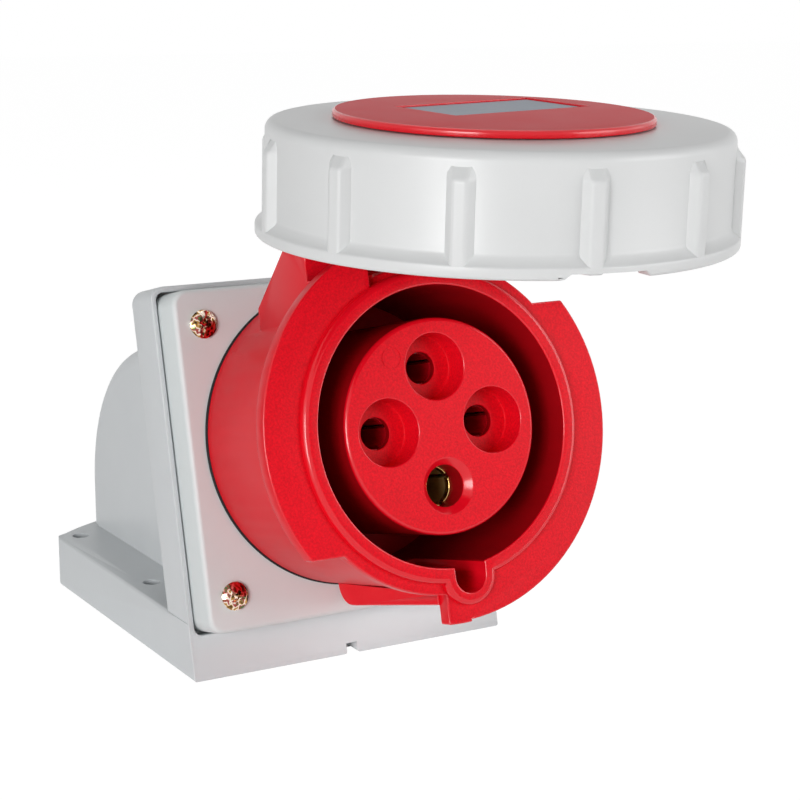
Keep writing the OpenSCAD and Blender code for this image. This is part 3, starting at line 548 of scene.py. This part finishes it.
# Sleeve seal: a flat black rubber ring between the plate and the sleeve's shoulder. Its rim shows
# all round as a thin dark line.
sleeve_r = 43.0*mm
seal_t = 1.0*mm
seal_r = sleeve_r + 0.4*mm
seal_in_r = 36.9*mm
bm = bmesh.new()
rim = arc(seal_r - seal_t/2, plate_front + seal_t/2, seal_t/2, -90, 90, 6)
lathe(bm, [(seal_in_r, plate_front)] + rim + [(seal_in_r, plate_front + seal_t)], 160)
seal = new_object("sleeve_seal_ring", bm)
seal.data.transform(face)
smooth_by_angle(seal, 40)
dress(seal, seal_rubber, "socket", "seal_rubber", "sleeve_seal")


# Socket sleeve: the red plastic body with rim, keyway, bayonet wings and hinge bracket, moulded in one
# and screwed to the plate from behind. The mould is spark eroded on the front faces, smooth on the
# barrel and polished along the edges.
red_dark = (0.71, 0.003, 0.012)
red_light = (0.79, 0.004, 0.016)
red_barrel = moulded_plastic("red plastic", red_dark, red_light, 0.36, strength=0.08, specular=0.14)
# the sparked red has painted light on the tops of its grain and painted shade in its pits
red_spark = moulded_plastic("red sparked plastic", red_dark, red_light, 0.46, grain=1700.0, depth=0.10*mm,
                            strength=0.45, specular=0.12, grain_light_contrast=0.13)
red_edge = moulded_plastic("red edge plastic", red_dark, red_light, 0.20, strength=0.03, specular=0.5)
# the same red painted darker, as shade, for the walls deep inside the sleeve and the insert
red_painted_shade = moulded_plastic("red inner plastic", (0.30, 0.002, 0.005), (0.36, 0.002, 0.006), 0.4,
                           strength=0.08, specular=0.1)
sleeve = new_object("socket_sleeve_body", merged_mesh("socket_sleeve"))
for material in (red_barrel, red_spark, red_edge, red_painted_shade):
    sleeve.data.materials.append(material)
sleeve_front, sleeve_edge, sleeve_shade_slot = 1, 2, 3
sleeve.data.transform(face.inverted())
rim_front = 68.0*mm
key_x = 2.7*mm
sleeve_in_r = 38.0*mm
key_half = 7.9*mm
key_mid_y = -40*mm
key_top_y = -36*mm
rim_least_r = 39*mm
sleeve_edge_r = 0.4*mm
rim_edge_r = 1.4*mm
wing_back = 30*mm
sleeve_floor = 15*mm


def on_rim_outside(edge):
    """True for the front edge of the rim's outer wall, also where it goes round the keyway."""
    middle = (edge.verts[0].co + edge.verts[1].co)/2
    beside_key = abs(middle.x - key_x) < key_half + 0.5*mm and middle.y < key_top_y
    centre = Vector((key_x, key_mid_y, 0)) if beside_key else Vector()
    walls = [side for side in edge.link_faces if abs(side.normal.z) < 0.1]
    at_front = abs(middle.z - rim_front) < close_by and middle.xy.length > rim_least_r
    return at_front and len(walls) == 1 and walls[0].normal.dot(middle - centre) > 0


round_edges(sleeve, sleeve_edge_r, slot=sleeve_edge, wide=(on_rim_outside, rim_edge_r))
for polygon in sleeve.data.polygons:
    middle = polygon.center
    if polygon.material_index == 0 and polygon.normal.z > 0.9 and middle.z > wing_back:
        polygon.material_index = sleeve_front
    # painted shade: the walls inside the sleeve, between its floor and the rim, get the darker red
    elif middle.xy.length < sleeve_in_r and sleeve_floor < middle.z < rim_front - 0.5*mm:
        polygon.material_index = sleeve_shade_slot
sleeve.data.transform(face)
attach(sleeve, "socket")
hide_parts("socket_sleeve")


# Contact insert: the red plastic block that holds the contacts, moulded with counterbores round the
# phase holes, a countersink at the earth hole and the round mark of an ejector pin. It is pushed into
# the sleeve from the front.
insert_r = 28.75*mm
insert_low = 14.0*mm
insert_face = 66.2*mm
insert_edge = 1.2*mm
pitch_r = 15.85*mm
phase_r = 4.3*mm
phase_floor = insert_face - 7.8*mm
recess_r = 8.85*mm
earth_r = 5.6*mm
sink_r = 7.5*mm
sink_h = 1.9*mm
recess_soft = 0.4*mm
bore_soft = 0.3*mm
room_low = 20*mm
phase_room_r = 6.4*mm
phase_room_top = phase_floor - 2*mm
earth_room_r = 7.2*mm
earth_room_top = insert_face - 8.5*mm
above = insert_face + 1*mm
mark_x = -12.9*mm
mark_y = 19.2*mm
mark_low = insert_face - 0.12*mm


def soft_mouth(r, z, f):
    """The flare of a cutter that leaves a round edge where a hole of radius r opens at height z."""
    return arc(r + f, z - f, f, 180, 98, 5)


def turned_cutter(name, profile, x, y):
    """A turned cutter with its axis at a place on the insert's face."""
    bm = bmesh.new()
    lathe(bm, profile, 72)
    bmesh.ops.translate(bm, verts=bm.verts, vec=(x, y, 0))
    return new_object(name, bm)


bm = bmesh.new()
insert_rim = arc(insert_r - insert_edge, insert_face - insert_edge, insert_edge, 0, 90, 8)
lathe(bm, [(0, insert_low), (insert_r, insert_low)] + insert_rim + [(0, insert_face)], 160)
insert = new_object("contact_insert_block", bm)
phase_profile = [(0, room_low), (phase_room_r, room_low), (phase_room_r, phase_room_top),
                 (phase_r, phase_room_top)]
phase_profile += soft_mouth(phase_r, phase_floor, bore_soft)
phase_profile += arc(recess_r - recess_soft, phase_floor + recess_soft, recess_soft, -82, 0, 4)
phase_profile += soft_mouth(recess_r, insert_face, recess_soft)
phase_profile += [(recess_r + recess_soft, above), (0, above)]
earth_profile = [(0, room_low), (earth_room_r, room_low), (earth_room_r, earth_room_top),
                 (earth_r, earth_room_top), (earth_r, insert_face - sink_h - 0.2*mm),
                 (earth_r + 0.1*mm, insert_face - sink_h + 0.1*mm),
                 (sink_r - 0.2*mm, insert_face - 0.2*mm), (sink_r + 0.1*mm, insert_face - 0.03*mm),
                 (sink_r + 0.1*mm, above), (0, above)]
mark_profile = [(2.65*mm, mark_low), (2.85*mm, mark_low), (2.95*mm, above), (2.55*mm, above)]
carve(insert, turned_cutter("phase hole", phase_profile, pitch_r, 0),
      turned_cutter("phase hole", phase_profile, 0, pitch_r),
      turned_cutter("phase hole", phase_profile, -pitch_r, 0),
      turned_cutter("earth hole", earth_profile, 0, -pitch_r),
      turned_cutter("ejector mark", mark_profile, mark_x, mark_y))


def even_normals(obj, angle=35):
    """Smooth shading in which large flat faces stay flat up to their rounded edges."""
    smooth_by_angle(obj, angle)
    even = obj.modifiers.new("even", "WEIGHTED_NORMAL")
    even.weight = 100
    even.keep_sharp = True
    settle(obj)


even_normals(insert)
dress(insert, red_spark, "socket", "red_plastic", "contact_insert")
insert.data.materials.append(red_edge)
insert.data.materials.append(red_painted_shade)
insert_edge_slot, insert_shade_slot = 1, 2
earth_axis = Vector((0, -pitch_r))
for polygon in insert.data.polygons:
    middle = polygon.center
    outer_wall = middle.xy.length > insert_r - 0.5*mm
    phase_bore = middle.z < phase_floor - bore_soft
    earth_bore = (middle.xy - earth_axis).length < earth_r + 0.1*mm
    if 0.1 < polygon.normal.z < 0.97 and middle.z > insert_face - 1.5*mm:
        polygon.material_index = insert_edge_slot
    # painted shade: the insert's side wall and the walls of its bores get the darker red
    elif abs(polygon.normal.z) < 0.1 and (outer_wall or phase_bore or earth_bore):
        polygon.material_index = insert_shade_slot
insert.data.transform(face)


# Contacts: brass tubes turned from bar, slotted so that they grip the pins, each closed by a split
# ring of spring steel. Deep in the socket their colour is painted shade, dark red on the phase tubes and
# dark brown on the earth tube, so that only the earth tube's rounded mouth shines. The screws and the
# hinge pin are of the same bright steel.
def bright_metal(name, dark, light, roughness):
    """Bare metal whose gloss drifts with a coarse grain."""
    material, tree, shader, skin = skinned_material(name, 900.0, dark, light, "Shade")
    drifting_gloss(tree, shader, skin.outputs["Height"], roughness, 0.06)
    shader.inputs["Metallic"].default_value = 1.0
    return material


def paint_shade_between(material, low, high, shade_colour):
    """Paints shade on the metal between two levels along the socket axis: there it takes the flat, non-metal shade
    colour.
    """
    fade = 1.5*mm
    tree = material.node_tree
    shader = tree.nodes["Principled BSDF"]
    colour = shader.inputs["Base Color"].links[0].from_socket
    place = tree.nodes.new("ShaderNodeTexCoord")
    level = tree.nodes.new("ShaderNodeVectorMath")
    level.operation = "DOT_PRODUCT"
    level.inputs[1].default_value = outward
    zero = face_origin.dot(outward)
    rise = tree.nodes.new("ShaderNodeMapRange")
    rise.inputs["From Min"].default_value = zero + high - fade
    rise.inputs["From Max"].default_value = zero + high
    fall = tree.nodes.new("ShaderNodeMapRange")
    fall.inputs["From Min"].default_value = zero + low + fade
    fall.inputs["From Max"].default_value = zero + low
    unshaded = tree.nodes.new("ShaderNodeMath")
    unshaded.operation = "MAXIMUM"
    film = tree.nodes.new("ShaderNodeMix")
    film.data_type = "RGBA"
    film.inputs[mix_first].default_value = (*shade_colour, 1)
    tree.links.new(place.outputs["Object"], level.inputs[0])
    tree.links.new(level.outputs["Value"], rise.inputs["Value"])
    tree.links.new(level.outputs["Value"], fall.inputs["Value"])
    tree.links.new(rise.outputs["Result"], unshaded.inputs[0])
    tree.links.new(fall.outputs["Result"], unshaded.inputs[1])
    tree.links.new(unshaded.outputs["Value"], film.inputs[mix_share])
    tree.links.new(colour, film.inputs[mix_second])
    tree.links.new(film.outputs[mix_colour], shader.inputs["Base Color"])
    tree.links.new(unshaded.outputs["Value"], shader.inputs["Metallic"])


tube_low = 27*mm
phase_shade_top = 60*mm
earth_shade_top = 56*mm
earth_mouth = 50*mm
mouth_edge_r = 0.3*mm
contact_brass = bright_metal("contact brass", (0.66, 0.44, 0.14), (0.80, 0.58, 0.24), 0.20)
# painted shade: the phase tubes take a dark red, like the shaded bores round them, up to near the insert's face
paint_shade_between(contact_brass, tube_low, phase_shade_top, (0.55, 0.004, 0.014))
for node in ("phase_contact_1", "phase_contact_2", "phase_contact_3"):
    finish_node(node, contact_brass)


def behind_mouth(edge):
    return (edge.verts[0].co - face_origin).dot(outward) < earth_mouth


earth_brass = bright_metal("earth brass", (0.70, 0.47, 0.15), (0.85, 0.62, 0.26), 0.18)
# painted shade: the earth tube is darkened to a dull brown, all but its mouth
paint_shade_between(earth_brass, tube_low, earth_shade_top, (0.30, 0.20, 0.07))
earth_tube = new_object("earth_contact_tube", merged_mesh("earth_contact"))
round_edges(earth_tube, mouth_edge_r, keep=behind_mouth)
dress(earth_tube, earth_brass, "socket", "contact_brass", "earth_contact")

steel = bright_metal("bright steel", (0.36, 0.37, 0.39), (0.48, 0.49, 0.51), 0.20)
for node in ("contact_spring_1", "contact_spring_2", "contact_spring_3", "earth_spring",
             "carrier_screws", "sleeve_screws", "hinge_pin", "cap_screws"):
    finish_node(node, steel)


# Terminal carrier: the black block behind the sleeve's floor that keeps the terminals apart. It is
# moulded of hard plastic and screwed to the floor from behind.
carrier_plastic = moulded_plastic("carrier black plastic", (0.016, 0.016, 0.018),
                                  (0.028, 0.028, 0.030), 0.5)
finish_node("terminal_carrier", carrier_plastic)


# Lid cap: the red plastic plate inside the lock ring, moulded with the gasket's seat and the arm that
# turns on the hinge pin. The lid's other pieces are shaped shut, over the socket, and then swung open.
hinge = next(joint for joint in frame["joints"] if joint["name"] == "lid_hinge")
hinge_at = Matrix.Translation(face.inverted() @ Vector(hinge["pos_m"]))
shut_angle = math.radians(hinge["range_deg"][0])
lid = face @ hinge_at @ Matrix.Rotation(shut_angle, 4, "X") @ hinge_at.inverted()
cap = new_object("lid_cap_body", merged_mesh("lid_cap"))
cap_edge_r = 0.5*mm
round_edges(cap, cap_edge_r)
dress(cap, red_barrel, "lid", "red_plastic", "lid_cap")


# Lock ring: the white bayonet ring round the lid, with a rolled top edge, a flared lip and grip ribs.
# It is moulded in one and turns on the cap; two lugs inside draw it behind the wings.
ring_top = 85.0*mm
ring_low = 57.0*mm
ring_r = 57.3*mm
ring_in_r = 54.5*mm
ring_hole_r = 34.5*mm
ring_top_t = 3.0*mm
lip_r = 59.6*mm
lip_h = 2.9*mm
lip_slope = 2.3*mm
top_edge_r = 2.6*mm
lip_edge_r = 0.8*mm
lip_start = ring_low + lip_h + lip_slope
lip_blend = 0.4*mm
hole_edge = 0.4*mm
mouth_edge = 0.5*mm
ring_steps = 240
slope_angle = math.degrees(math.atan2(lip_slope, lip_r - ring_r))
ring_plastic = moulded_plastic("ring white plastic", (0.65, 0.658, 0.658), (0.68, 0.688, 0.688), 0.34,
                               strength=0.05)
profile = [(ring_hole_r, ring_top - ring_top_t), (ring_hole_r, ring_top - hole_edge),
           (ring_hole_r + hole_edge, ring_top)]
profile += arc(ring_r - top_edge_r, ring_top - top_edge_r, top_edge_r, 90, 0, 10)
profile += [(ring_r, lip_start + lip_blend), (ring_r + 0.25*mm, lip_start - lip_blend)]
profile += arc(lip_r - lip_edge_r, ring_low + lip_h - 0.5*mm, lip_edge_r, 90 - slope_angle/2, 0, 4)
profile += arc(lip_r - lip_edge_r, ring_low + lip_edge_r, lip_edge_r, 0, -90, 5)
profile += [(ring_in_r + mouth_edge, ring_low), (ring_in_r, ring_low + mouth_edge),
            (ring_in_r, ring_top - ring_top_t)]
bm = bmesh.new()
lathe(bm, profile, ring_steps)

# a shallow index notch in the ring's mouth
index_mid = math.radians(188)
index_half = math.radians(10)
index_h = 1.5*mm
for vert in bm.verts:
    clockwise = math.atan2(vert.co.x, vert.co.y) % (2*math.pi)
    if vert.co.z < ring_low + 2*mm and abs(clockwise - index_mid) < index_half:
        vert.co.z = max(vert.co.z, ring_low + index_h)
ring_wall = new_object("lock_ring_wall", bm)
smooth_by_angle(ring_wall, 40)

# the grip ribs, drawn at twelve o'clock with a chamfered top
rib_crest_r = lip_r - 0.05*mm
rib_low = ring_low + 1.0*mm
rib_top = ring_top - 3.0*mm
rib_chamfer = 3.4*mm
rib_foot = 3.5*mm
rib_crest = 1.6*mm
rib_edge_r = 0.7*mm
foot_r = ring_r - 0.3*mm
sunk_r = foot_r - 1*mm
bm = bmesh.new()
levels = ((rib_low, rib_crest_r), (rib_top - rib_chamfer, rib_crest_r), (rib_top, ring_r - 0.6*mm))
rings = []
for z, crest in levels:
    rings.append([(-rib_foot, sunk_r, z), (rib_foot, sunk_r, z), (rib_foot, foot_r, z),
                  (rib_crest, crest, z), (-rib_crest, crest, z), (-rib_foot, foot_r, z)])
stacked_rings(bm, rings)
bmesh.ops.recalc_face_normals(bm, faces=bm.faces)
rib = new_object("grip_rib", bm)
round_edges(rib, rib_edge_r, sharp=20, slimmest=1.0)


def turned_copies_tree():
    """Copies of a piece at equal steps about Z, from a first turn."""
    tree, sockets, entry, points, turns = copying_tree("turned copies", (
        ("Count", "Int", 12), ("First turn", "Float", 0.0)))
    on_axis = tree.nodes.new("GeometryNodePoints")
    index = tree.nodes.new("GeometryNodeInputIndex")
    step = tree.nodes.new("ShaderNodeMath")
    step.operation = "DIVIDE"
    step.inputs[0].default_value = -2*math.pi
    turn = tree.nodes.new("ShaderNodeMath")
    turn.operation = "MULTIPLY_ADD"
    tree.links.new(entry.outputs["Count"], on_axis.inputs["Count"])
    tree.links.new(entry.outputs["Count"], step.inputs[1])
    tree.links.new(index.outputs["Index"], turn.inputs[0])
    tree.links.new(step.outputs["Value"], turn.inputs[1])
    tree.links.new(entry.outputs["First turn"], turn.inputs[2])
    tree.links.new(on_axis.outputs["Points"], points)
    tree.links.new(turn.outputs["Value"], turns)
    return tree, sockets


rib_count = 12
first_rib = math.radians(-11)
turned_copies, turned_sockets = turned_copies_tree()
ribs = copies_of("lock_ring_ribs", turned_copies, turned_sockets, {
    "Piece": rib, "Count": rib_count, "First turn": first_rib, "Finish": ring_plastic})
bpy.data.objects.remove(rib)

# the two bayonet lugs on the ring's inner wall
lug_in_r = 48.8*mm
lug_out_r = ring_in_r + 1*mm
lug_low = 57.3*mm
lug_top = 60.1*mm
lug_mids = (34, 214)
lug_half = math.radians(12.5)
lug_steps = 12
lug_edge_r = 0.4*mm
bm = bmesh.new()
for lug_mid in lug_mids:
    rings = []
    for z in (lug_low, lug_top):
        outer, inner = [], []
        for i in range(lug_steps + 1):
            turn = math.radians(lug_mid) + lug_half*(2*i/lug_steps - 1)
            outer.append((lug_out_r*math.sin(turn), lug_out_r*math.cos(turn), z))
            inner.append((lug_in_r*math.sin(turn), lug_in_r*math.cos(turn), z))
        rings.append(outer + inner[::-1])
    stacked_rings(bm, rings)
bmesh.ops.recalc_face_normals(bm, faces=bm.faces)
lugs = new_object("lock_ring_lugs", bm)
round_edges(lugs, lug_edge_r)
for obj, replaced in ((ring_wall, ("lock_ring",)), (ribs, ()), (lugs, ())):
    obj.data.transform(lid)
    dress(obj, ring_plastic, "ring", "ring_plastic", *replaced)


# Lid disc: the red plastic disc over the ring's top, moulded with a hub and screwed to the cap from
# below, so that the ring is held between the two. A shallow recess takes the label.
disc_r = 39.65*mm
disc_low = 85.3*mm
disc_top = 87.2*mm
disc_edge = 0.9*mm
disc_foot_edge = 0.3*mm
disc_shift = 3.0*mm
hub_r = 34.0*mm
hub_low = 81.6*mm
hub_top = 85.4*mm
label_l = 45.0*mm
label_w = 23.0*mm
label_deep = 0.8*mm
pocket_edge_r = 0.25*mm
label_place = Matrix.Translation((6*mm, 10*mm, 0)) @ Matrix.Rotation(math.radians(10), 4, "Z")
bm = bmesh.new()
disc_profile = [(0, disc_low)]
disc_profile += arc(disc_r - disc_foot_edge, disc_low + disc_foot_edge, disc_foot_edge, -90, 0, 3)
disc_profile += arc(disc_r - disc_edge, disc_top - disc_edge, disc_edge, 0, 90, 8)
lathe(bm, disc_profile + [(0, disc_top)], 200)
disc = new_object("lid_disc", bm)
bm = bmesh.new()
block(bm, (-label_l/2, -label_w/2, disc_top - label_deep), (label_l/2, label_w/2, disc_top + 2*mm))
pocket = new_object("label pocket", bm)
pocket.data.transform(label_place)
carve(disc, pocket)
round_edges(disc, pocket_edge_r, sharp=50)
disc_rim = [polygon.index for polygon in disc.data.polygons if abs(polygon.normal.z) < 0.97]
disc.data.transform(lid @ Matrix.Translation((0, disc_shift, 0)))
red_disc = moulded_plastic("red disc plastic", (0.60, 0.003, 0.011), (0.67, 0.004, 0.014), 0.44,
                           strength=0.03, specular=0.08)
dress(disc, red_disc, "lid", "red_plastic", "cap_disc")
disc.data.materials.append(red_edge)
for index in disc_rim:
    disc.data.polygons[index].material_index = 1
bm = bmesh.new()
lathe(bm, [(0, hub_low), (hub_r, hub_low), (hub_r, hub_top), (0, hub_top)], 120)
hub = new_object("lid_disc_hub", bm)
hub.data.transform(lid)
smooth_by_angle(hub)
dress(hub, red_barrel, "lid", "red_plastic")


# Rating label: a thin bare plate of satin aluminium, stamped from sheet. It is glued into the disc's
# recess, with a narrow gap all round.
label_t = 0.3*mm
label_gap = 0.3*mm
label_edge_r = 0.06*mm
bm = bmesh.new()
block(bm, (label_gap - label_l/2, label_gap - label_w/2, disc_top - label_deep),
      (label_l/2 - label_gap, label_w/2 - label_gap, disc_top - label_deep + label_t))
label = new_object("rating_label_plate", bm)
round_edges(label, label_edge_r, steps=2)
label.data.transform(lid @ Matrix.Translation((0, disc_shift, 0)) @ label_place)
label_metal = bright_metal("label aluminium", (0.16, 0.175, 0.20), (0.20, 0.215, 0.24), 0.6)
dress(label, label_metal, "lid", "label_metal", "rating_label")


# Cable gland: body, locknut and clamping nut of grey plastic at the back of the box, screwed together
# through the wall. The short facets of their bores stay sharp.
gland_edge_r = 0.4*mm
bore_facet = 3*mm
gland_plastic = moulded_plastic("gland grey plastic", (0.50, 0.51, 0.52), (0.56, 0.57, 0.58), 0.42)
for node in ("gland_body", "gland_nut"):
    part = new_object(node + "_shape", merged_mesh(node))
    round_edges(part, gland_edge_r, keep=lambda edge: edge.calc_length() < bore_facet)
    dress(part, gland_plastic, "socket", "gland_plastic", node)
finish_node("gland_locknut", gland_plastic)


# Studio: a pale floor, two soft lamps on each side and a weak one above, and a white surround that only
# the camera and the reflections see.
def direct_rays(tree):
    """A mask of the rays that the camera sends, also by way of a mirror or glass."""
    path = tree.nodes.new("ShaderNodeLightPath")
    mirrored = tree.nodes.new("ShaderNodeMath")
    mirrored.operation = "MAXIMUM"
    direct = tree.nodes.new("ShaderNodeMath")
    direct.operation = "MAXIMUM"
    tree.links.new(path.outputs["Is Glossy Ray"], mirrored.inputs[0])
    tree.links.new(path.outputs["Is Transmission Ray"], mirrored.inputs[1])
    tree.links.new(path.outputs["Is Camera Ray"], direct.inputs[0])
    tree.links.new(mirrored.outputs["Value"], direct.inputs[1])
    return direct.outputs["Value"]


floor_size = 8.0
floor_glow = 1.09
glow_share = 0.9
bpy.ops.mesh.primitive_plane_add(size=floor_size, location=(0, 0, 0))
floor = bpy.context.object
floor.name = "studio_floor"
floor_paint = bpy.data.materials.new("floor paint")
floor_paint.use_nodes = True
tree = floor_paint.node_tree
shader = tree.nodes["Principled BSDF"]
shader.inputs["Base Color"].default_value = (0.92, 0.92, 0.92, 1)
shader.inputs["Roughness"].default_value = 0.9
glow = tree.nodes.new("ShaderNodeEmission")
glow.inputs["Color"].default_value = (1, 1, 1, 1)
glow.inputs["Strength"].default_value = floor_glow
share = tree.nodes.new("ShaderNodeMath")
share.operation = "MULTIPLY"
share.inputs[1].default_value = glow_share
mix = tree.nodes.new("ShaderNodeMixShader")
tree.links.new(direct_rays(tree), share.inputs[0])
tree.links.new(share.outputs["Value"], mix.inputs["Fac"])
tree.links.new(shader.outputs["BSDF"], mix.inputs[1])
tree.links.new(glow.outputs["Emission"], mix.inputs[2])
tree.links.new(mix.outputs["Shader"], tree.nodes["Material Output"].inputs["Surface"])
floor.data.materials.append(floor_paint)

dim_strength = 0.06
white_strength = 1.0
world = bpy.data.worlds.new("studio surround")
bpy.context.scene.world = world
world.use_nodes = True
tree = world.node_tree
dim = tree.nodes["Background"]
dim.inputs["Color"].default_value = (1, 1, 1, 1)
dim.inputs["Strength"].default_value = dim_strength
white = tree.nodes.new("ShaderNodeBackground")
white.inputs["Color"].default_value = (1, 1, 1, 1)
white.inputs["Strength"].default_value = white_strength
mix = tree.nodes.new("ShaderNodeMixShader")
tree.links.new(direct_rays(tree), mix.inputs["Fac"])
tree.links.new(dim.outputs["Background"], mix.inputs[1])
tree.links.new(white.outputs["Background"], mix.inputs[2])
tree.links.new(mix.outputs["Shader"], tree.nodes["World Output"].inputs["Surface"])


object_middle = Vector((0, -0.08, 0.08))


def soft_box(name, place, size, power):
    """A square area lamp that looks at the middle of the object."""
    lamp = bpy.data.lights.new(name, "AREA")
    lamp.shape = "SQUARE"
    lamp.size = size
    lamp.energy = power
    obj = bpy.data.objects.new(name, lamp)
    bpy.context.scene.collection.objects.link(obj)
    obj.location = place
    look = object_middle - Vector(place)
    obj.rotation_euler = look.to_track_quat("-Z", "Y").to_euler()


soft_box("left_light", (-1.3, -0.55, 0.30), 0.7, 2.7)
soft_box("low_left_light", (-1.0, -0.9, 0.26), 0.5, 9.2)
soft_box("right_light", (0.9, -1.1, 0.45), 0.8, 8.4)
soft_box("far_right_light", (1.2, -0.4, 0.30), 0.7, 1.7)
soft_box("top_light", (0.1, 0.3, 1.5), 1.0, 3.4)


# Camera: the photograph's viewing angle and framing, from a fit of the lens and the place to points
# that were measured on the object.
camera_turn = math.radians(-29.948)
camera_rise = math.radians(12.089)
camera_at = Vector((-265.54*mm, -563.82*mm, 194.83*mm))
lens_mm = 89.83
back = Vector((math.sin(camera_turn)*math.cos(camera_rise), -math.cos(camera_turn)*math.cos(camera_rise),
               math.sin(camera_rise)))
right = Vector((0, 0, 1)).cross(back).normalized()
eye = bpy.data.cameras.new("photo_camera")
eye.sensor_width = 36.0
eye.lens = lens_mm
eye.clip_start = 0.01
camera = bpy.data.objects.new("photo_camera", eye)
bpy.context.scene.collection.objects.link(camera)
camera_axes = Matrix((right, back.cross(right), back)).transposed().to_4x4()
camera.matrix_world = Matrix.Translation(camera_at) @ camera_axes
bpy.context.scene.camera = camera
bpy.context.scene.view_settings.view_transform = "Standard"
